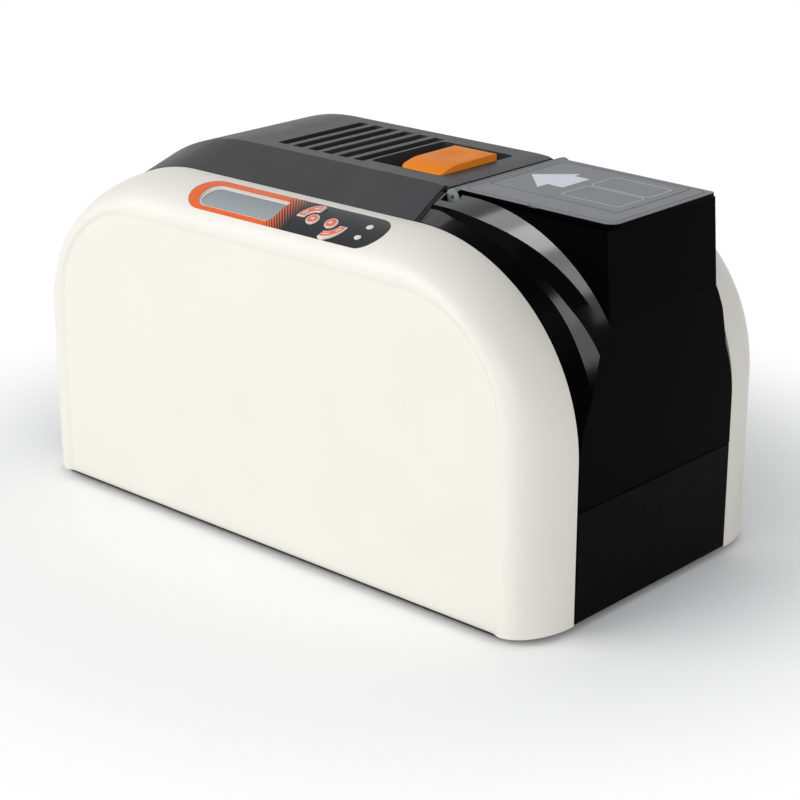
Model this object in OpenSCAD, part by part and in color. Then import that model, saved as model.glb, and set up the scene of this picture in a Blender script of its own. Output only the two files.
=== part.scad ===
// Desktop card printer: two moulded side panels around a dark core with a hinged top cover,
// a card hopper with its own lid, a sliding output tray and the print mechanism inside.
// Axes: X runs along the card path (+X is the hopper end), -Y is the control side, Z is up.
// Heights below are measured from the bottom edge of the panels; raised() adds the feet.

/* [Body] */
// Length over the side panels
body_l = 363; // [350:1:380]
// Width over the side panels
body_w = 197; // [190:1:210]
// Height of the top cover above the panels' bottom edge
body_h = 198.8; // [194:0.2:206]
// Width of the curved band of each side panel, beside the core
band_w = 34.1; // [33:0.1:35]
// Width of the flat top between the two bevels
ridge_w = 83; // [76:1:90]
// Wall thickness of the moulded shells
wall = 2.5; // [2:0.1:3]
// Seam left between neighbouring shells
seam = 0.5; // [0.3:0.1:0.8]
// Height of the rubber feet below the panels
foot_h = 4; // [3:0.5:8]

/* [Side panels] */
// Corner radius of the panel's inner edge
edge_r = 101; // [95:1:103]
// Drop from the top cover to the panel's inner edge
edge_drop = 13.8; // [11:0.2:17]
// Corner radius of the crease round the flat side
crease_r = 62; // [50:1:70]
// Distance of the crease from the ends
crease_in = 22.1; // [18:0.1:26]
// Drop from the top cover to the crease
crease_drop = 35.3; // [31:0.1:40]
// Depth of the recessed flat side
face_recess = 1.3; // [0.8:0.1:2]
// Corner radius of the cover's flat top, seen from the side
crown_r = 117; // [112:1:117]

/* [Control panel] */
// Length of the control label
label_l = 135.6; // [128:0.2:142]
// Width of the control label
label_w = 25; // [23:0.2:26]
// Centre of the label from the middle of the body
label_x = 6.2; // [2:0.2:10]
// Thickness of the label
label_t = 0.5; // [0.3:0.1:0.8]
// Length of the display window
display_l = 57; // [50:0.5:62]
// Width of the display window
display_w = 17.4; // [14:0.2:18]
// Radius of the round keys
key_r = 4; // [3.5:0.1:4.2]
// Travel of the keys
key_travel = 0.6; // [0.3:0.1:0.8]

/* [Cards] */
// Length of a card
card_l = 85.6; // [84:0.1:87]
// Width of a card
card_w = 54; // [53:0.1:56]
// Thickness of a card
card_t = 0.76; // [0.5:0.02:1]
// Drop from the top cover to the card path
path_drop = 94.8; // [91:0.2:97]

/* [Hopper] */
// Outer length of the hopper tower at its top
tower_l = 97.4; // [96:0.2:100]
// Outer width of the hopper tower
tower_w = 88; // [84:0.2:90]
// Thickness of the hopper lid
lid_t = 2.6; // [2:0.1:3]
// Radius of the lid's hinge barrels
lid_barrel_r = 4.2; // [3.6:0.1:4.3]

/* [Top cover] */
// Opening angle of the top cover, in degrees
cover_open = 70; // [50:1:72]
// Radius of the cover's hinge barrel
barrel_r = 8.9; // [7:0.1:9.4]
// Radius of the cover's hinge pin
hinge_pin_r = 2; // [1.5:0.1:2.5]
// Number of cooling slots
slots = 6; // [3:1:7]
// Distance from one cooling slot to the next
slot_pitch = 11.1; // [10:0.1:12]
// Width of a cooling slot
slot_w = 7; // [5:0.1:8]
// Length of a cooling slot
slot_l = 64.8; // [50:0.2:66]
// Length of the finger pocket
pocket_l = 49; // [44:0.5:52]
// Width of the finger pocket
pocket_w = 58; // [50:0.5:60]
// Depth of the finger pocket
pocket_d = 11; // [9:0.5:12]
// Length of the release button
button_l = 28; // [24:0.5:30]
// Height of the release button above the cover
button_proud = 3.6; // [2:0.1:5]
// Travel of the release button
button_travel = 6; // [4:0.5:8]

/* [Output tray] */
// Height of the output tray's front
tray_h = 59; // [50:0.5:60]
// Depth of the output tray behind its front
tray_l = 86; // [80:1:92]

/* [Transport] */
// Radius of the transport shafts
shaft_r = 3; // [2.5:0.1:3.5]
// Radius of the driven rollers
roller_r = 8; // [7:0.1:8.5]
// Radius of the pick roller
pick_r = 9; // [8:0.1:9.5]
// Radius of the pinch rollers
pinch_r = 5; // [4:0.1:5.5]
// Radius of the belt pulleys
pulley_r = 9; // [8:0.1:9.5]
// Teeth of the gear on the platen shaft
gear_teeth = 56; // [50:1:60]
// Teeth of the motor's pinion
pinion_teeth = 16; // [14:1:18]
// Thickness of the steel frame plates
plate_t = 1.5; // [1:0.1:2]
// Radial running clearance of shafts and pins
run_gap = 0.05; // [0.03:0.01:0.1]
// Gap left between sliding parts
slide_gap = 0.3; // [0.2:0.05:0.5]

/* [Ribbon] */
// Radius of the full ribbon roll
ribbon_r = 19; // [15:0.5:20]
// Distance of each spool from the print line
spool_off = 42; // [40:0.5:46]
// Height of the spools above the card path
spool_rise = 46; // [42:0.5:48]

/* [Hidden] */

$fn = 48;
eps = 0.01;
far = 300;
arc_steps = 18;
band_steps = 8;

// Outline of the shells, seen from the side
half_l = body_l / 2;
panel_hw = body_w / 2;
face_hw = panel_hw - face_recess;
core_hw = panel_hw - band_w;
shell_hw = core_hw - seam;
ridge_hw = ridge_w / 2;
edge_top = body_h - edge_drop;
crease_top = body_h - crease_drop;
crease_hl = half_l - crease_in;
crown_cx = half_l - crown_r;
crown_cz = body_h - crown_r;
band_start = 0.1;
rim_round = 0.3;
bevel_share = 0.28;
skirt_h = 8;
path_z = body_h - path_drop;

// Hopper tower, behind the front face
tower_lean = 3.3;
tower_hw = tower_w / 2;
tower_x1 = half_l - tower_lean;
tower_x0 = tower_x1 - tower_l;
tower_foot_z = path_z - 3;
cover_front = tower_x0 - 5.3;
housing_x0 = cover_front + seam;
shoulder_hw = (core_hw + tower_hw) / 2 + 1.3;
shoulder_r = 102.5;
shoulder_top = body_h - 8.8;
shoulder_hl = half_l + 4;
crest_r = 103;
crest_top = body_h - 2.3;
crest_hl = half_l + 16.5;
knee_z = crest_top - crest_r + sqrt(pow(crest_r, 2) - pow(half_l - crest_hl + crest_r, 2));

// Hopper lid and its hinge
lid_rear_z = body_h - 0.2;
lid_front_z = body_h - 1.4;
lid_hw = tower_hw - wall + 0.2;
lid_x1 = tower_x1 + 1.6;
lid_pin_x = tower_x0 + 2.6;
lid_pin_z = body_h - 4.3;
lid_nose_r = 4.3;
lid_pin_r = 1;
lid_ear_r = 2.4;
lid_ear_y = [37.8, 40.8];
lid_barrel_y = [41.2, tower_hw + 0.4];
lid_room_hw = lid_barrel_y[1] + 0.6;
lid_corner_r = 6;
tongue_x = lid_pin_x - lid_nose_r - 0.8;

// Hopper liner and card weight
liner_t = 1.6;
liner_gap = 0.8;
liner_x0 = tower_x0 + wall + 1.3 + liner_t;
liner_x1 = liner_x0 + card_l + 2 * liner_gap;
liner_hw = card_w / 2 + 1.3;
liner_top = lid_pin_z - 2.5;
weight_gap = 1.5;
weight_t = 5;
weight_z = path_z + 1.3;
weight_tab_h = 15;

// Cover hinge, on the normal of the crown
hinge_ang = 130;
hinge_n = [cos(hinge_ang), sin(hinge_ang)];
hinge_x = -crown_cx + (crown_r - barrel_r) * hinge_n[0];
hinge_z = crown_cz + (crown_r - barrel_r) * hinge_n[1];
barrel_hw = core_hw - 18.1;
cheek_y = barrel_hw + 0.5;
cheek_t = 3.5;
cheek_r = 17.5;
recess_r = barrel_r / cos(cover_open / 2) + 0.3;

// Finger pocket, button and latch
pocket_x1 = cover_front - 13;
pocket_x0 = pocket_x1 - pocket_l;
pocket_hw = pocket_w / 2;
pocket_floor = body_h - pocket_d;
pocket_t = 2;
pocket_corner_r = 3;
button_gap = 0.4;
button_x1 = pocket_x1 - button_gap;
button_x0 = button_x1 - button_l;
button_y0 = -pocket_hw + button_gap;
button_y1 = 15;
ramp_l = 12.5;
stem_x0 = button_x0 + 10;
stem_x1 = stem_x0 + 9;
stem_hw = 6;
hook_z1 = pocket_floor - pocket_t - slide_gap;
hook_t = 4;
hook_leg_x1 = button_x1 - 3;
hook_leg_t = 4;
keeper_z = hook_z1 - 15;
keeper_t = 2;
nose_l = 2.4;
nose_h = 3;
keeper_gap = 0.8;
keeper_x0 = hook_leg_x1 + nose_l + keeper_gap;
keeper_x1 = keeper_x0 + 9;
spring_r = 2.6;
spring_wire = 0.8;
spring_turns = 7;
spring_x0 = stem_x0 - 14;

// Transport line
hopper_gate = 1.8 * card_t;
feed_x = tower_x0 - 14.8;
pick_x = tower_x0 + 31.2;
platen_x = feed_x - 66;
transport_x = platen_x - 62;
cleaning_x = feed_x - 24;
cleaning_r = 7;
roller_z = path_z - roller_r;
pick_z = path_z + 0.5 - pick_r;
nip = card_t + 0.1;
pinch_z = path_z + nip + pinch_r;
roller_hw = 24;
frame_y = 47;
frame_y1 = frame_y + plate_t;
bush_r = 5;
bush_flange_r = 6.5;
bush_flange_t = 1;
track_w = 3.6;
track_a = frame_y1 + 2.5;
track_b = track_a + track_w + 0.6;
flange_t = 0.8;
flange_r = pulley_r + 2;
belt_t = 1;
belt_gap = 0.3;
gear_y = track_b + track_w + 1.2;
gear_w = 4;
gear_module = 1;
backlash = 0.25;
addendum = 0.85;
dedendum = 1.25;
mesh_ang = 235;
mesh_l = gear_module * (gear_teeth + pinion_teeth) / 2;
motor_x = platen_x + mesh_l * cos(mesh_ang);
motor_z = roller_z + mesh_l * sin(mesh_ang);
motor_r = 17.5;
motor_l = 26;
frame_x0 = transport_x - 50;
frame_x1 = feed_x + 4;
frame_top = path_z + 61;
frame_step_z = path_z - 42;
neck_x = feed_x + 18;
tie_r = 3;

// Ribbon and print head
supply_x = platen_x - spool_off;
takeup_x = platen_x + spool_off;
spool_z = path_z + spool_rise;
cassette_y = 36;
cassette_t = 2;
cassette_z1 = spool_z + 20;
journal_r = 4;
core_r = 6;
ribbon_hw = 29;
lug_off = 55;
lug_z = cassette_z1 - 14;
head_z = path_z + nip;
head_pin_z = head_z + 21;
head_pin_r = 2;
head_hw = card_w / 2 + 1.2;
bracket_y = 30.5;
bracket_t = 2;

// Control pad: a gently curved land on the band of the control side panel
pad_lo = 28.5;
pad_hi = 78.5;
pad_in = 0.3;
pad_sag = 1.6;
function band_f(a) = band_start + (1 - band_start) * sin(a);
function band_y(a, hw) = -(core_hw + (hw - core_hw) * cos(a));
function band_z(a) = crease_top + (edge_top - crease_top) * band_f(a);
pad_p = [band_y(pad_lo, panel_hw), band_z(pad_lo)];
pad_q = [band_y(pad_hi, panel_hw), band_z(pad_hi)];
pad_chord = norm(pad_q - pad_p);
pad_dir = (pad_q - pad_p) / pad_chord;
pad_tilt = atan2(pad_dir[1], pad_dir[0]);
pad_r = pow(pad_chord, 2) / (8 * pad_sag) + pad_sag / 2;
pad_rise = pad_sag - pad_in;
pad_o = (pad_p + pad_q) / 2 + pad_rise * [-pad_dir[1], pad_dir[0]];
key_gap = 0.25;
key_proud = 0.7;
key_flange_w = -6.4;
board_w = -10.5;
board_t = 1.6;
module_w = -5.8;
module_hw = 10;
flange_hw = 11;
display_x0 = -54;
display_v = -0.9;
display_end_r = 8;
display_corner_r = 4;
key_pos = [26.4, -1.4];
key_pos_b = [39.1, -1.2];
crescent_gap = 1.8;
crescent_w = 5.6;
crescent_half = 47;
crescent_ang = 135;
lamp_pos = [[61.5, 2.9], [60.7, -5.5]];
pillar_u = [-59, 71];
spring_z = pocket_floor - pocket_t - spring_r - spring_wire / 2 - 0.5;

// Output tray, base and rear sockets
floor_t = 2.5;
tray_front_t = 3;
tray_wall = 2;
tray_z0 = floor_t + slide_gap;
tray_x0 = half_l - tray_front_t - tray_l;
tray_hw = shell_hw - wall - 1;
bay_hw = card_w / 2 + 1.5;
foot_x = half_l - 41.5;
foot_y = panel_hw - 26.5;
foot_r = 9;
foot_stem_r = 2.5;
post_x = half_l - 56.5;
post_y = face_hw - 11.2;
post_r = 4.5;
screw_r = 1.5;
fan_size = 40;
fan_t = 10;
fan_y = 26;
fan_z = crown_cz - 15.8;
rear_x = -half_l;
socket_pitch = 20;
inlet_y = 20.4 - core_hw;
usb_y = inlet_y + socket_pitch;
rocker_y = usb_y + socket_pitch;
rocker_x = rear_x + 3.5;
rocker_tilt = 7;
socket_z = 34;
flap_x = tower_x0 + 4.2;
flap_z = path_z - 7;
flap_pin_r = 1.5;
board_x0 = frame_x0 + 2;
board_y = gear_y + gear_w + 2;
board_z0 = 12;
main_board_l = 170;
main_board_h = 50;
peg_in = 5;
board_pegs_x = [board_x0 + peg_in, board_x0 + main_board_l - peg_in];
board_pegs_z = [board_z0 + 4, board_z0 + main_board_h - 6];

function arch(hl, r, top, z0 = 0) = concat(
  [[-hl, z0]],
  [for (i = [0:arc_steps]) let (a = 180 - 90 * i / arc_steps) [-(hl - r) + r * cos(a), top - r + r * sin(a)]],
  [for (i = [0:arc_steps]) let (a = 90 - 90 * i / arc_steps) [(hl - r) + r * cos(a), top - r + r * sin(a)]],
  [[hl, z0]]);
function edge_arch(t, z0 = 0) = arch(half_l - t, edge_r - t, edge_top - t, z0);
function crease_arch(t, z0 = 0) = arch(crease_hl - t, crease_r - t, crease_top - t, z0);
function crown_arch(t, z0 = 0) = arch(half_l - t, crown_r - t, body_h - t, z0);
function at_y(outline, y) = [for (p = outline) [p[0], y, p[1]]];
function blend(a, b, f) = [for (i = [0:len(a) - 1]) a[i] * (1 - f) + b[i] * f];
function inv_rad(a) = tan(a) - a * PI / 180;
function gear_tooth(teeth, i, pitch_r, base_r, root_r, tip_r) =
  let (half = 90 / teeth - backlash / 2 / pitch_r * 180 / PI,
       rs = [for (k = [0:4]) max(base_r, root_r) + (tip_r - max(base_r, root_r)) * k / 4],
       as = [for (r = rs) half + (inv_rad(20) - inv_rad(acos(base_r / r))) * 180 / PI],
       c = 360 * i / teeth)
  concat([root_r * [cos(c - as[0]), sin(c - as[0])]],
    [for (k = [0:4]) rs[k] * [cos(c - as[k]), sin(c - as[k])]],
    [for (k = [4:-1:0]) rs[k] * [cos(c + as[k]), sin(c + as[k])]],
    [root_r * [cos(c + as[0]), sin(c + as[0])]]);
function gear_outline(teeth) =
  let (pitch_r = gear_module * teeth / 2)
  [for (i = [0:teeth - 1]) each gear_tooth(teeth, i, pitch_r, pitch_r * cos(20),
    pitch_r - dedendum * gear_module, pitch_r + addendum * gear_module)];

// Lofts a solid through outlines that have the same number of points
module loft(rings) {
  n = len(rings[0]);
  m = len(rings);
  polyhedron(
    points = [for (ring = rings) each ring],
    faces = concat(
      [[for (i = [0:n - 1]) i]],
      [for (k = [0:m - 2]) for (i = [0:n - 1]) [k * n + i, (k + 1) * n + i, (k + 1) * n + (i + 1) % n]],
      [for (k = [0:m - 2]) for (i = [0:n - 1]) [k * n + i, (k + 1) * n + (i + 1) % n, k * n + (i + 1) % n]],
      [[for (i = [n - 1:-1:0]) (m - 1) * n + i]]),
    convexity = 4);
}

module raised() {
  translate([0, 0, foot_h]) children();
}

module box(x, y, z) {
  translate([x[0], y[0], z[0]]) cube([x[1] - x[0], y[1] - y[0], z[1] - z[0]]);
}

// Extrudes an outline drawn in X and Z along Y
module along_y(y0, y1) {
  translate([0, y1, 0]) rotate([90, 0, 0]) linear_extrude(y1 - y0) children();
}

module rod_y(x, z, r, y0, y1) {
  translate([x, y1, z]) rotate([90, 0, 0]) cylinder(r = r, h = y1 - y0);
}

module rod_x(y, z, r, x0, x1) {
  translate([x0, y, z]) rotate([0, 90, 0]) cylinder(r = r, h = x1 - x0);
}

module both_sides() {
  children();
  mirror([0, 1, 0]) children();
}

module rounded_box(x, y, z, r) {
  translate([x[0], y[0], z[0]]) linear_extrude(z[1] - z[0]) rounded_plate(x[1] - x[0], y[1] - y[0], r);
}

module rounded_plate(l, w, r) {
  translate([r, 0]) square([l - 2 * r, w]);
  translate([0, r]) square([l, w - 2 * r]);
  for (p = [[r, r], [l - r, r], [r, w - r], [l - r, w - r]]) translate(p) circle(r);
}

// The dark core: flat top, bevels down to the panels' inner edges, rounded ends
module core_form(t) {
  z0 = t > 0 ? -1 : 0;
  loft([
    at_y(edge_arch(t, z0), -(shell_hw - t)),
    at_y(crown_arch(t, z0), -(ridge_hw - bevel_share * t)),
    at_y(crown_arch(t, z0), ridge_hw - bevel_share * t),
    at_y(edge_arch(t, z0), shell_hw - t)]);
}

// The front shoulders, which rise steeply to the hopper tower
module front_form(t) {
  z0 = t > 0 ? -1 : 0;
  edge = edge_arch(t, z0);
  shoulder = arch(shoulder_hl - t, shoulder_r - t, shoulder_top - t, z0);
  crest = arch(crest_hl - t, crest_r - t, crest_top - t, z0);
  intersection() {
    loft([
      at_y(edge, -(shell_hw - t)), at_y(shoulder, -(shoulder_hw - t / 2)), at_y(crest, -tower_hw + t / 2),
      at_y(crest, tower_hw - t / 2), at_y(shoulder, shoulder_hw - t / 2), at_y(edge, shell_hw - t)]);
    box([0, half_l - t], [-far, far], [-2, far]);
  }
}

// Outer or inner form of a side panel on the control side
module panel_form() {
  crease = crease_arch(0);
  edge = edge_arch(0);
  loft(concat(
    [at_y(crease, -face_hw), at_y(blend(crease, edge, 0.012), -(panel_hw - rim_round))],
    [for (i = [0:band_steps]) let (a = 90 * i / band_steps)
      at_y(blend(crease, edge, band_f(a)), band_y(a, panel_hw))]));
}

module panel_cavity() {
  crease = crease_arch(wall, -1);
  edge = edge_arch(wall, -1);
  loft(concat(
    [for (i = [0:band_steps]) let (a = 90 * i / band_steps)
      at_y(blend(crease, edge, band_f(a)), band_y(a, face_hw - wall))],
    [at_y(edge, -core_hw + 1)]));
}

module panel_shell() {
  difference() {
    panel_form();
    panel_cavity();
  }
  for (x = [-post_x, 0, post_x]) {
    translate([x, -post_y, floor_t]) cylinder(r = post_r, h = 30);
    box([x - 1, x + 1], [-face_hw + wall - eps, -post_y - post_r + 1], [floor_t, floor_t + 30]);
  }
  for (x = [31.5 - half_l, half_l - 49.5]) rod_y(x, tray_h + 31, post_r, -face_hw + wall - eps, -shell_hw);
}

module post_bores() {
  for (x = [-post_x, 0, post_x]) translate([x, -post_y, floor_t - 1]) cylinder(r = screw_r, h = 16);
}

// Places things on the control pad: X along the body, Y up the slope, Z out of the pad
module on_pad() {
  translate([0, pad_o[0], pad_o[1]]) rotate([pad_tilt, 0, 0]) children();
}

module pad_round(r) {
  translate([-far, 0, -pad_r]) rotate([0, 90, 0]) cylinder(r = r, h = 2 * far, $fn = 96);
}

module label_outline(in) {
  r = label_w / 2 - in;
  x = label_l / 2 - label_w / 2;
  for (s = [-1, 1]) translate([label_x + s * x, 0]) circle(r);
  translate([label_x - x, -r]) square([2 * x, 2 * r]);
}

module display_outline(in) {
  w = display_w - 2 * in;
  translate([display_x0 + in, display_v - w / 2]) {
    rounded_plate(display_l - 2 * in - 5, w, display_end_r - in);
    translate([20, 0]) rounded_plate(display_l - 2 * in - 20, w, display_corner_r - in);
  }
}

// The keys: two round ones, each with a crescent beside it
module crescent_outline(p, ang, in) {
  r0 = key_r + crescent_gap;
  reach = 3 * r0;
  apex = in / sin(crescent_half);
  translate(p) rotate(ang) intersection() {
    difference() {
      circle(r0 + crescent_w - in);
      circle(r0 + in);
    }
    translate([apex, 0]) polygon([[0, 0], reach * [cos(crescent_half), -sin(crescent_half)],
      [2 * reach, 0], reach * [cos(crescent_half), sin(crescent_half)]]);
  }
}

module round_outline(p, in) {
  translate(p) circle(key_r - in);
}

module key_outlines(in) {
  crescent_outline(key_pos, crescent_ang, in);
  round_outline(key_pos, in);
  round_outline(key_pos_b, in);
  crescent_outline(key_pos_b, crescent_ang + 180, in);
}

module pad_prism(w0, w1) {
  translate([0, 0, w0]) linear_extrude(w1 - w0) children();
}

module control_side_panel() {
  color("ivory") raised() difference() {
    union() {
      panel_shell();
      on_pad() for (u = pillar_u) translate([u, 0, board_w + board_t])
        cylinder(r = 2.5, h = -1 - board_w - board_t);
    }
    post_bores();
    on_pad() {
      difference() {
        pad_prism(-6, 8) label_outline(0);
        pad_round(pad_r);
      }
      pad_prism(-6, 8) display_outline(0);
      pad_prism(-6, 8) key_outlines(0);
    }
  }
}

module far_side_panel() {
  color("ivory") raised() mirror([0, 1, 0]) difference() {
    panel_shell();
    post_bores();
  }
}

module control_overlay() {
  color([0.08, 0.08, 0.09]) raised() on_pad() difference() {
    intersection() {
      pad_prism(-6, 8) label_outline(0.2);
      pad_round(pad_r + label_t);
    }
    pad_round(pad_r);
    pad_prism(-6, 8) display_outline(0);
    pad_prism(-6, 8) key_outlines(0);
  }
}

module lcd_window() {
  color([0.6, 0.65, 0.66]) raised() on_pad() intersection() {
    pad_prism(-3.2, 8) display_outline(0.15);
    difference() {
      pad_round(pad_r + label_t - 0.1);
      pad_round(pad_r + label_t - 1.6);
    }
  }
}

module lcd_module() {
  color([0.45, 0.5, 0.5]) raised() on_pad() {
    x0 = display_x0 - 2;
    x1 = display_x0 + display_l + 5;
    box([x0, x1], [-module_hw, module_hw], [board_w + board_t, module_w]);
    translate([0, display_v, 0])
      box([x0 + 3, x1 - 3], [-display_w / 2, display_w / 2], [module_w - eps, module_w + 0.8]);
  }
}

// A key cap with its retaining flange; v is the cap's middle, up the slope
module key_cap(v) {
  top = sqrt(pow(pad_r, 2) - pow(v, 2)) - pad_r + label_t + key_proud;
  color([0.93, 0.4, 0.12]) raised() on_pad() {
    pad_prism(key_flange_w + 0.8 - eps, top) children(0);
    pad_prism(key_flange_w, key_flange_w + 0.8) intersection() {
      children(1);
      square([far, 2 * flange_hw], center = true);
    }
    pad_prism(key_flange_w - 0.9, key_flange_w + eps) children(2);
  }
}

module key_upper_arc() {
  key_cap(key_pos[1] + 6) {
    crescent_outline(key_pos, crescent_ang, key_gap);
    crescent_outline(key_pos, crescent_ang, -0.5);
    crescent_outline(key_pos, crescent_ang, 1.6);
  }
}

module key_upper_round() {
  key_cap(key_pos[1]) {
    round_outline(key_pos, key_gap);
    round_outline(key_pos, -0.7);
    round_outline(key_pos, 2);
  }
}

module key_lower_round() {
  key_cap(key_pos_b[1]) {
    round_outline(key_pos_b, key_gap);
    round_outline(key_pos_b, -0.7);
    round_outline(key_pos_b, 2);
  }
}

module key_lower_arc() {
  key_cap(key_pos_b[1] - 6) {
    crescent_outline(key_pos_b, crescent_ang + 180, key_gap);
    crescent_outline(key_pos_b, crescent_ang + 180, -0.5);
    crescent_outline(key_pos_b, crescent_ang + 180, 1.6);
  }
}

// Board under the pad, with a switch below each key and two indicator lamps
module control_board() {
  mid = key_r + crescent_gap + crescent_w / 2;
  arc_dir = mid * [cos(crescent_ang), sin(crescent_ang)];
  switch_top = key_flange_w - 0.9 - key_travel - slide_gap;
  color("darkgreen") raised() on_pad() {
    box([pillar_u[0] - 4, pillar_u[1] + 3], [-12.5, 12.5], [board_w, board_w + board_t]);
    for (p = [key_pos, key_pos_b, key_pos + arc_dir, key_pos_b - arc_dir]) {
      translate([p[0], p[1], board_w + board_t - eps]) cylinder(r = 1.5, h = switch_top - board_w - board_t);
      translate([p[0] - 2.5, p[1] - 2.5, board_w + board_t - eps]) cube([5, 5, 1]);
    }
    for (p = lamp_pos) translate([p[0], p[1], board_w + board_t - eps]) cylinder(r = 1.2, h = 3);
  }
}

module hinge_side(y0, y1, side) {
  n = 60 * hinge_n;
  h = [hinge_x, hinge_z];
  along_y(y0, y1) polygon(side > 0
    ? [h, h + n, [cover_front, body_h + 60], [cover_front, hinge_z - 40], h - [0, 40]]
    : [h, h + n, [-half_l - 40, body_h], [-half_l - 40, -5], [hinge_x + 8, -5], [hinge_x + 8, hinge_z - 24]]);
}

module core_skin() {
  difference() {
    core_form(0);
    core_form(wall);
  }
}

module cover_skin() {
  difference() {
    core_skin();
    along_y(-far, far) polygon(arch(half_l - skirt_h, edge_r - skirt_h, edge_top - skirt_h, -2));
  }
}

// The finger pocket: its hollow, or its outside with in = -pocket_t
module pocket_outline(in) {
  z = in < 0 ? [pocket_floor - pocket_t, body_h - 0.6 * wall] : [pocket_floor, body_h + 1];
  rounded_box([pocket_x0 + in, pocket_x1 - in], [-pocket_hw + in, pocket_hw - in], z, pocket_corner_r - in);
}

module top_cover() {
  slot_x1 = pocket_x0 - 2;
  rib_h = 9;
  rib_x = [[supply_x - 20, platen_x - 15], [platen_x + 15, cover_front - 1]];
  spring_stop_x = spring_x0 - 0.05;
  color([0.3, 0.3, 0.31]) raised() difference() {
    union() {
      intersection() {
        cover_skin();
        union() {
          hinge_side(-barrel_hw, barrel_hw, 1);
          difference() {
            both_sides() hinge_side(-far, -barrel_hw, 1);
            rod_y(hinge_x, hinge_z, cheek_r + seam, -far, far);
          }
          box([cover_front - 5, tongue_x], [-ridge_hw + 1, ridge_hw - 1], [body_h - wall - 1, far]);
        }
      }
      intersection() {
        core_form(0);
        rod_y(hinge_x, hinge_z, barrel_r, -barrel_hw, barrel_hw);
      }
      pocket_outline(-pocket_t);
      box([cover_front - wall, cover_front], [-ridge_hw, ridge_hw], [body_h - 16, body_h - wall + eps]);
      for (y = [-ridge_hw + 3, ridge_hw - 5]) for (x = rib_x)
        box(x, [y, y + 2], [body_h - rib_h, body_h - wall + eps]);
      box([spring_stop_x - 2, spring_stop_x], [-4, 4],
        [spring_z - spring_r - 1, pocket_floor - pocket_t + eps]);
    }
    pocket_outline(0);
    box([stem_x0 - button_travel - 1, stem_x1 + 0.6], [-stem_hw - 0.5, stem_hw + 0.5],
      [pocket_floor - 5, pocket_floor + 1]);
    for (i = [0:slots - 1]) let (x = slot_x1 - i * slot_pitch)
      box([x - slot_w, x], [-slot_l / 2, slot_l / 2], [body_h - 20, body_h + 1]);
    rod_y(hinge_x, hinge_z, hinge_pin_r + run_gap, -far, far);
  }
}

module cover_hinge_pin() {
  y = cheek_y + cheek_t + 2;
  color("silver") raised() {
    rod_y(hinge_x, hinge_z, hinge_pin_r, -y, y);
    both_sides() rod_y(hinge_x, hinge_z, hinge_pin_r + 1.5, -y - 1.5, -y + 1);
  }
}

// Orange release button: a ramp rises from the near edge to a flat top
module release_button() {
  color("darkorange") raised() {
    difference() {
      intersection() {
        translate([button_x0, 0, 0]) rotate([90, 0, 90]) linear_extrude(button_l) polygon([
          [button_y0, pocket_floor + slide_gap], [button_y1, pocket_floor + slide_gap],
          [button_y1, body_h + button_proud - 0.6], [button_y1 - 0.6, body_h + button_proud],
          [button_y0 + ramp_l, body_h + button_proud - 0.2], [button_y0, body_h]]);
        rounded_box([button_x0, button_x1], [button_y0, button_y1 + 10], [0, far], pocket_corner_r);
      }
      translate([button_x0 + 8, button_y1 + 0.5, pocket_floor]) rotate([0, 0, 172]) cube([12, 6, 30]);
      translate([(button_x0 + button_x1) / 2, -2, body_h + button_proud + 47]) sphere(r = 48, $fn = 64);
    }
    box([stem_x0, stem_x1], [-stem_hw, stem_hw], [hook_z1, pocket_floor + slide_gap + eps]);
  }
}

// Hook under the cover: an arm below the pocket floor, a leg and a nose towards the keeper
module latch_hook() {
  foot_z = keeper_z - keeper_t - nose_h - 0.6;
  color([0.2, 0.2, 0.2]) raised() {
    box([stem_x0, hook_leg_x1], [-stem_hw, stem_hw], [hook_z1 - hook_t, hook_z1]);
    box([hook_leg_x1 - hook_leg_t, hook_leg_x1], [-stem_hw, stem_hw], [foot_z, hook_z1 - hook_t + eps]);
    along_y(-stem_hw, stem_hw) polygon([
      [hook_leg_x1 - eps, foot_z], [hook_leg_x1 + nose_l, foot_z + nose_h - 0.8],
      [hook_leg_x1 + nose_l, foot_z + nose_h], [hook_leg_x1 - eps, foot_z + nose_h]]);
    rod_x(0, spring_z, 1.3, stem_x0 - 4, stem_x0 + eps);
  }
}

// Compression spring that pushes the button back
module latch_spring() {
  n = 10;
  sides = 6;
  steps = spring_turns * n;
  w = spring_wire / 2;
  x0 = spring_x0 + w;
  x1 = stem_x0 - 0.05 - w;
  color("silver") raised() translate([0, 0, spring_z]) loft([for (i = [0:steps])
    let (a = 360 * i / n, x = x0 + (x1 - x0) * i / steps)
    [for (k = [0:sides - 1]) let (b = -360 * k / sides, r = spring_r + w * cos(b))
      [x + w * sin(b), r * cos(a), r * sin(a)]]]);
}

// Bracket between the frame plates, with the keeper that holds the hook
module latch_bridge() {
  color("gainsboro") raised() {
    box([keeper_x0, keeper_x1], [-frame_y, frame_y], [keeper_z - keeper_t, keeper_z]);
    box([keeper_x1 - keeper_t, keeper_x1], [-frame_y, frame_y], [keeper_z - 14, keeper_z]);
    both_sides() box([keeper_x0, keeper_x1], [-frame_y, -frame_y + 1.5], [keeper_z - 14, keeper_z]);
  }
}

module tower_outline(in, z0) {
  rise = in > 0 ? 20 : -slide_gap;
  polygon([[tower_x0 + in, z0], [half_l - in, z0], [half_l - in, knee_z],
    [tower_x1 - in, lid_front_z - lid_t + rise], [tower_x0 + in, lid_rear_z - lid_t + rise]]);
}

// Everything above the rim that the closed lid rests over
module lid_space() {
  z = -lid_t - slide_gap;
  along_y(-lid_hw - slide_gap, lid_hw + slide_gap) polygon([
    [tower_x0 - 1, lid_rear_z + z], [tower_x1, lid_front_z + z], [half_l + 1, lid_front_z + z],
    [half_l + 1, far], [tower_x0 - 1, far]]);
}

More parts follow.
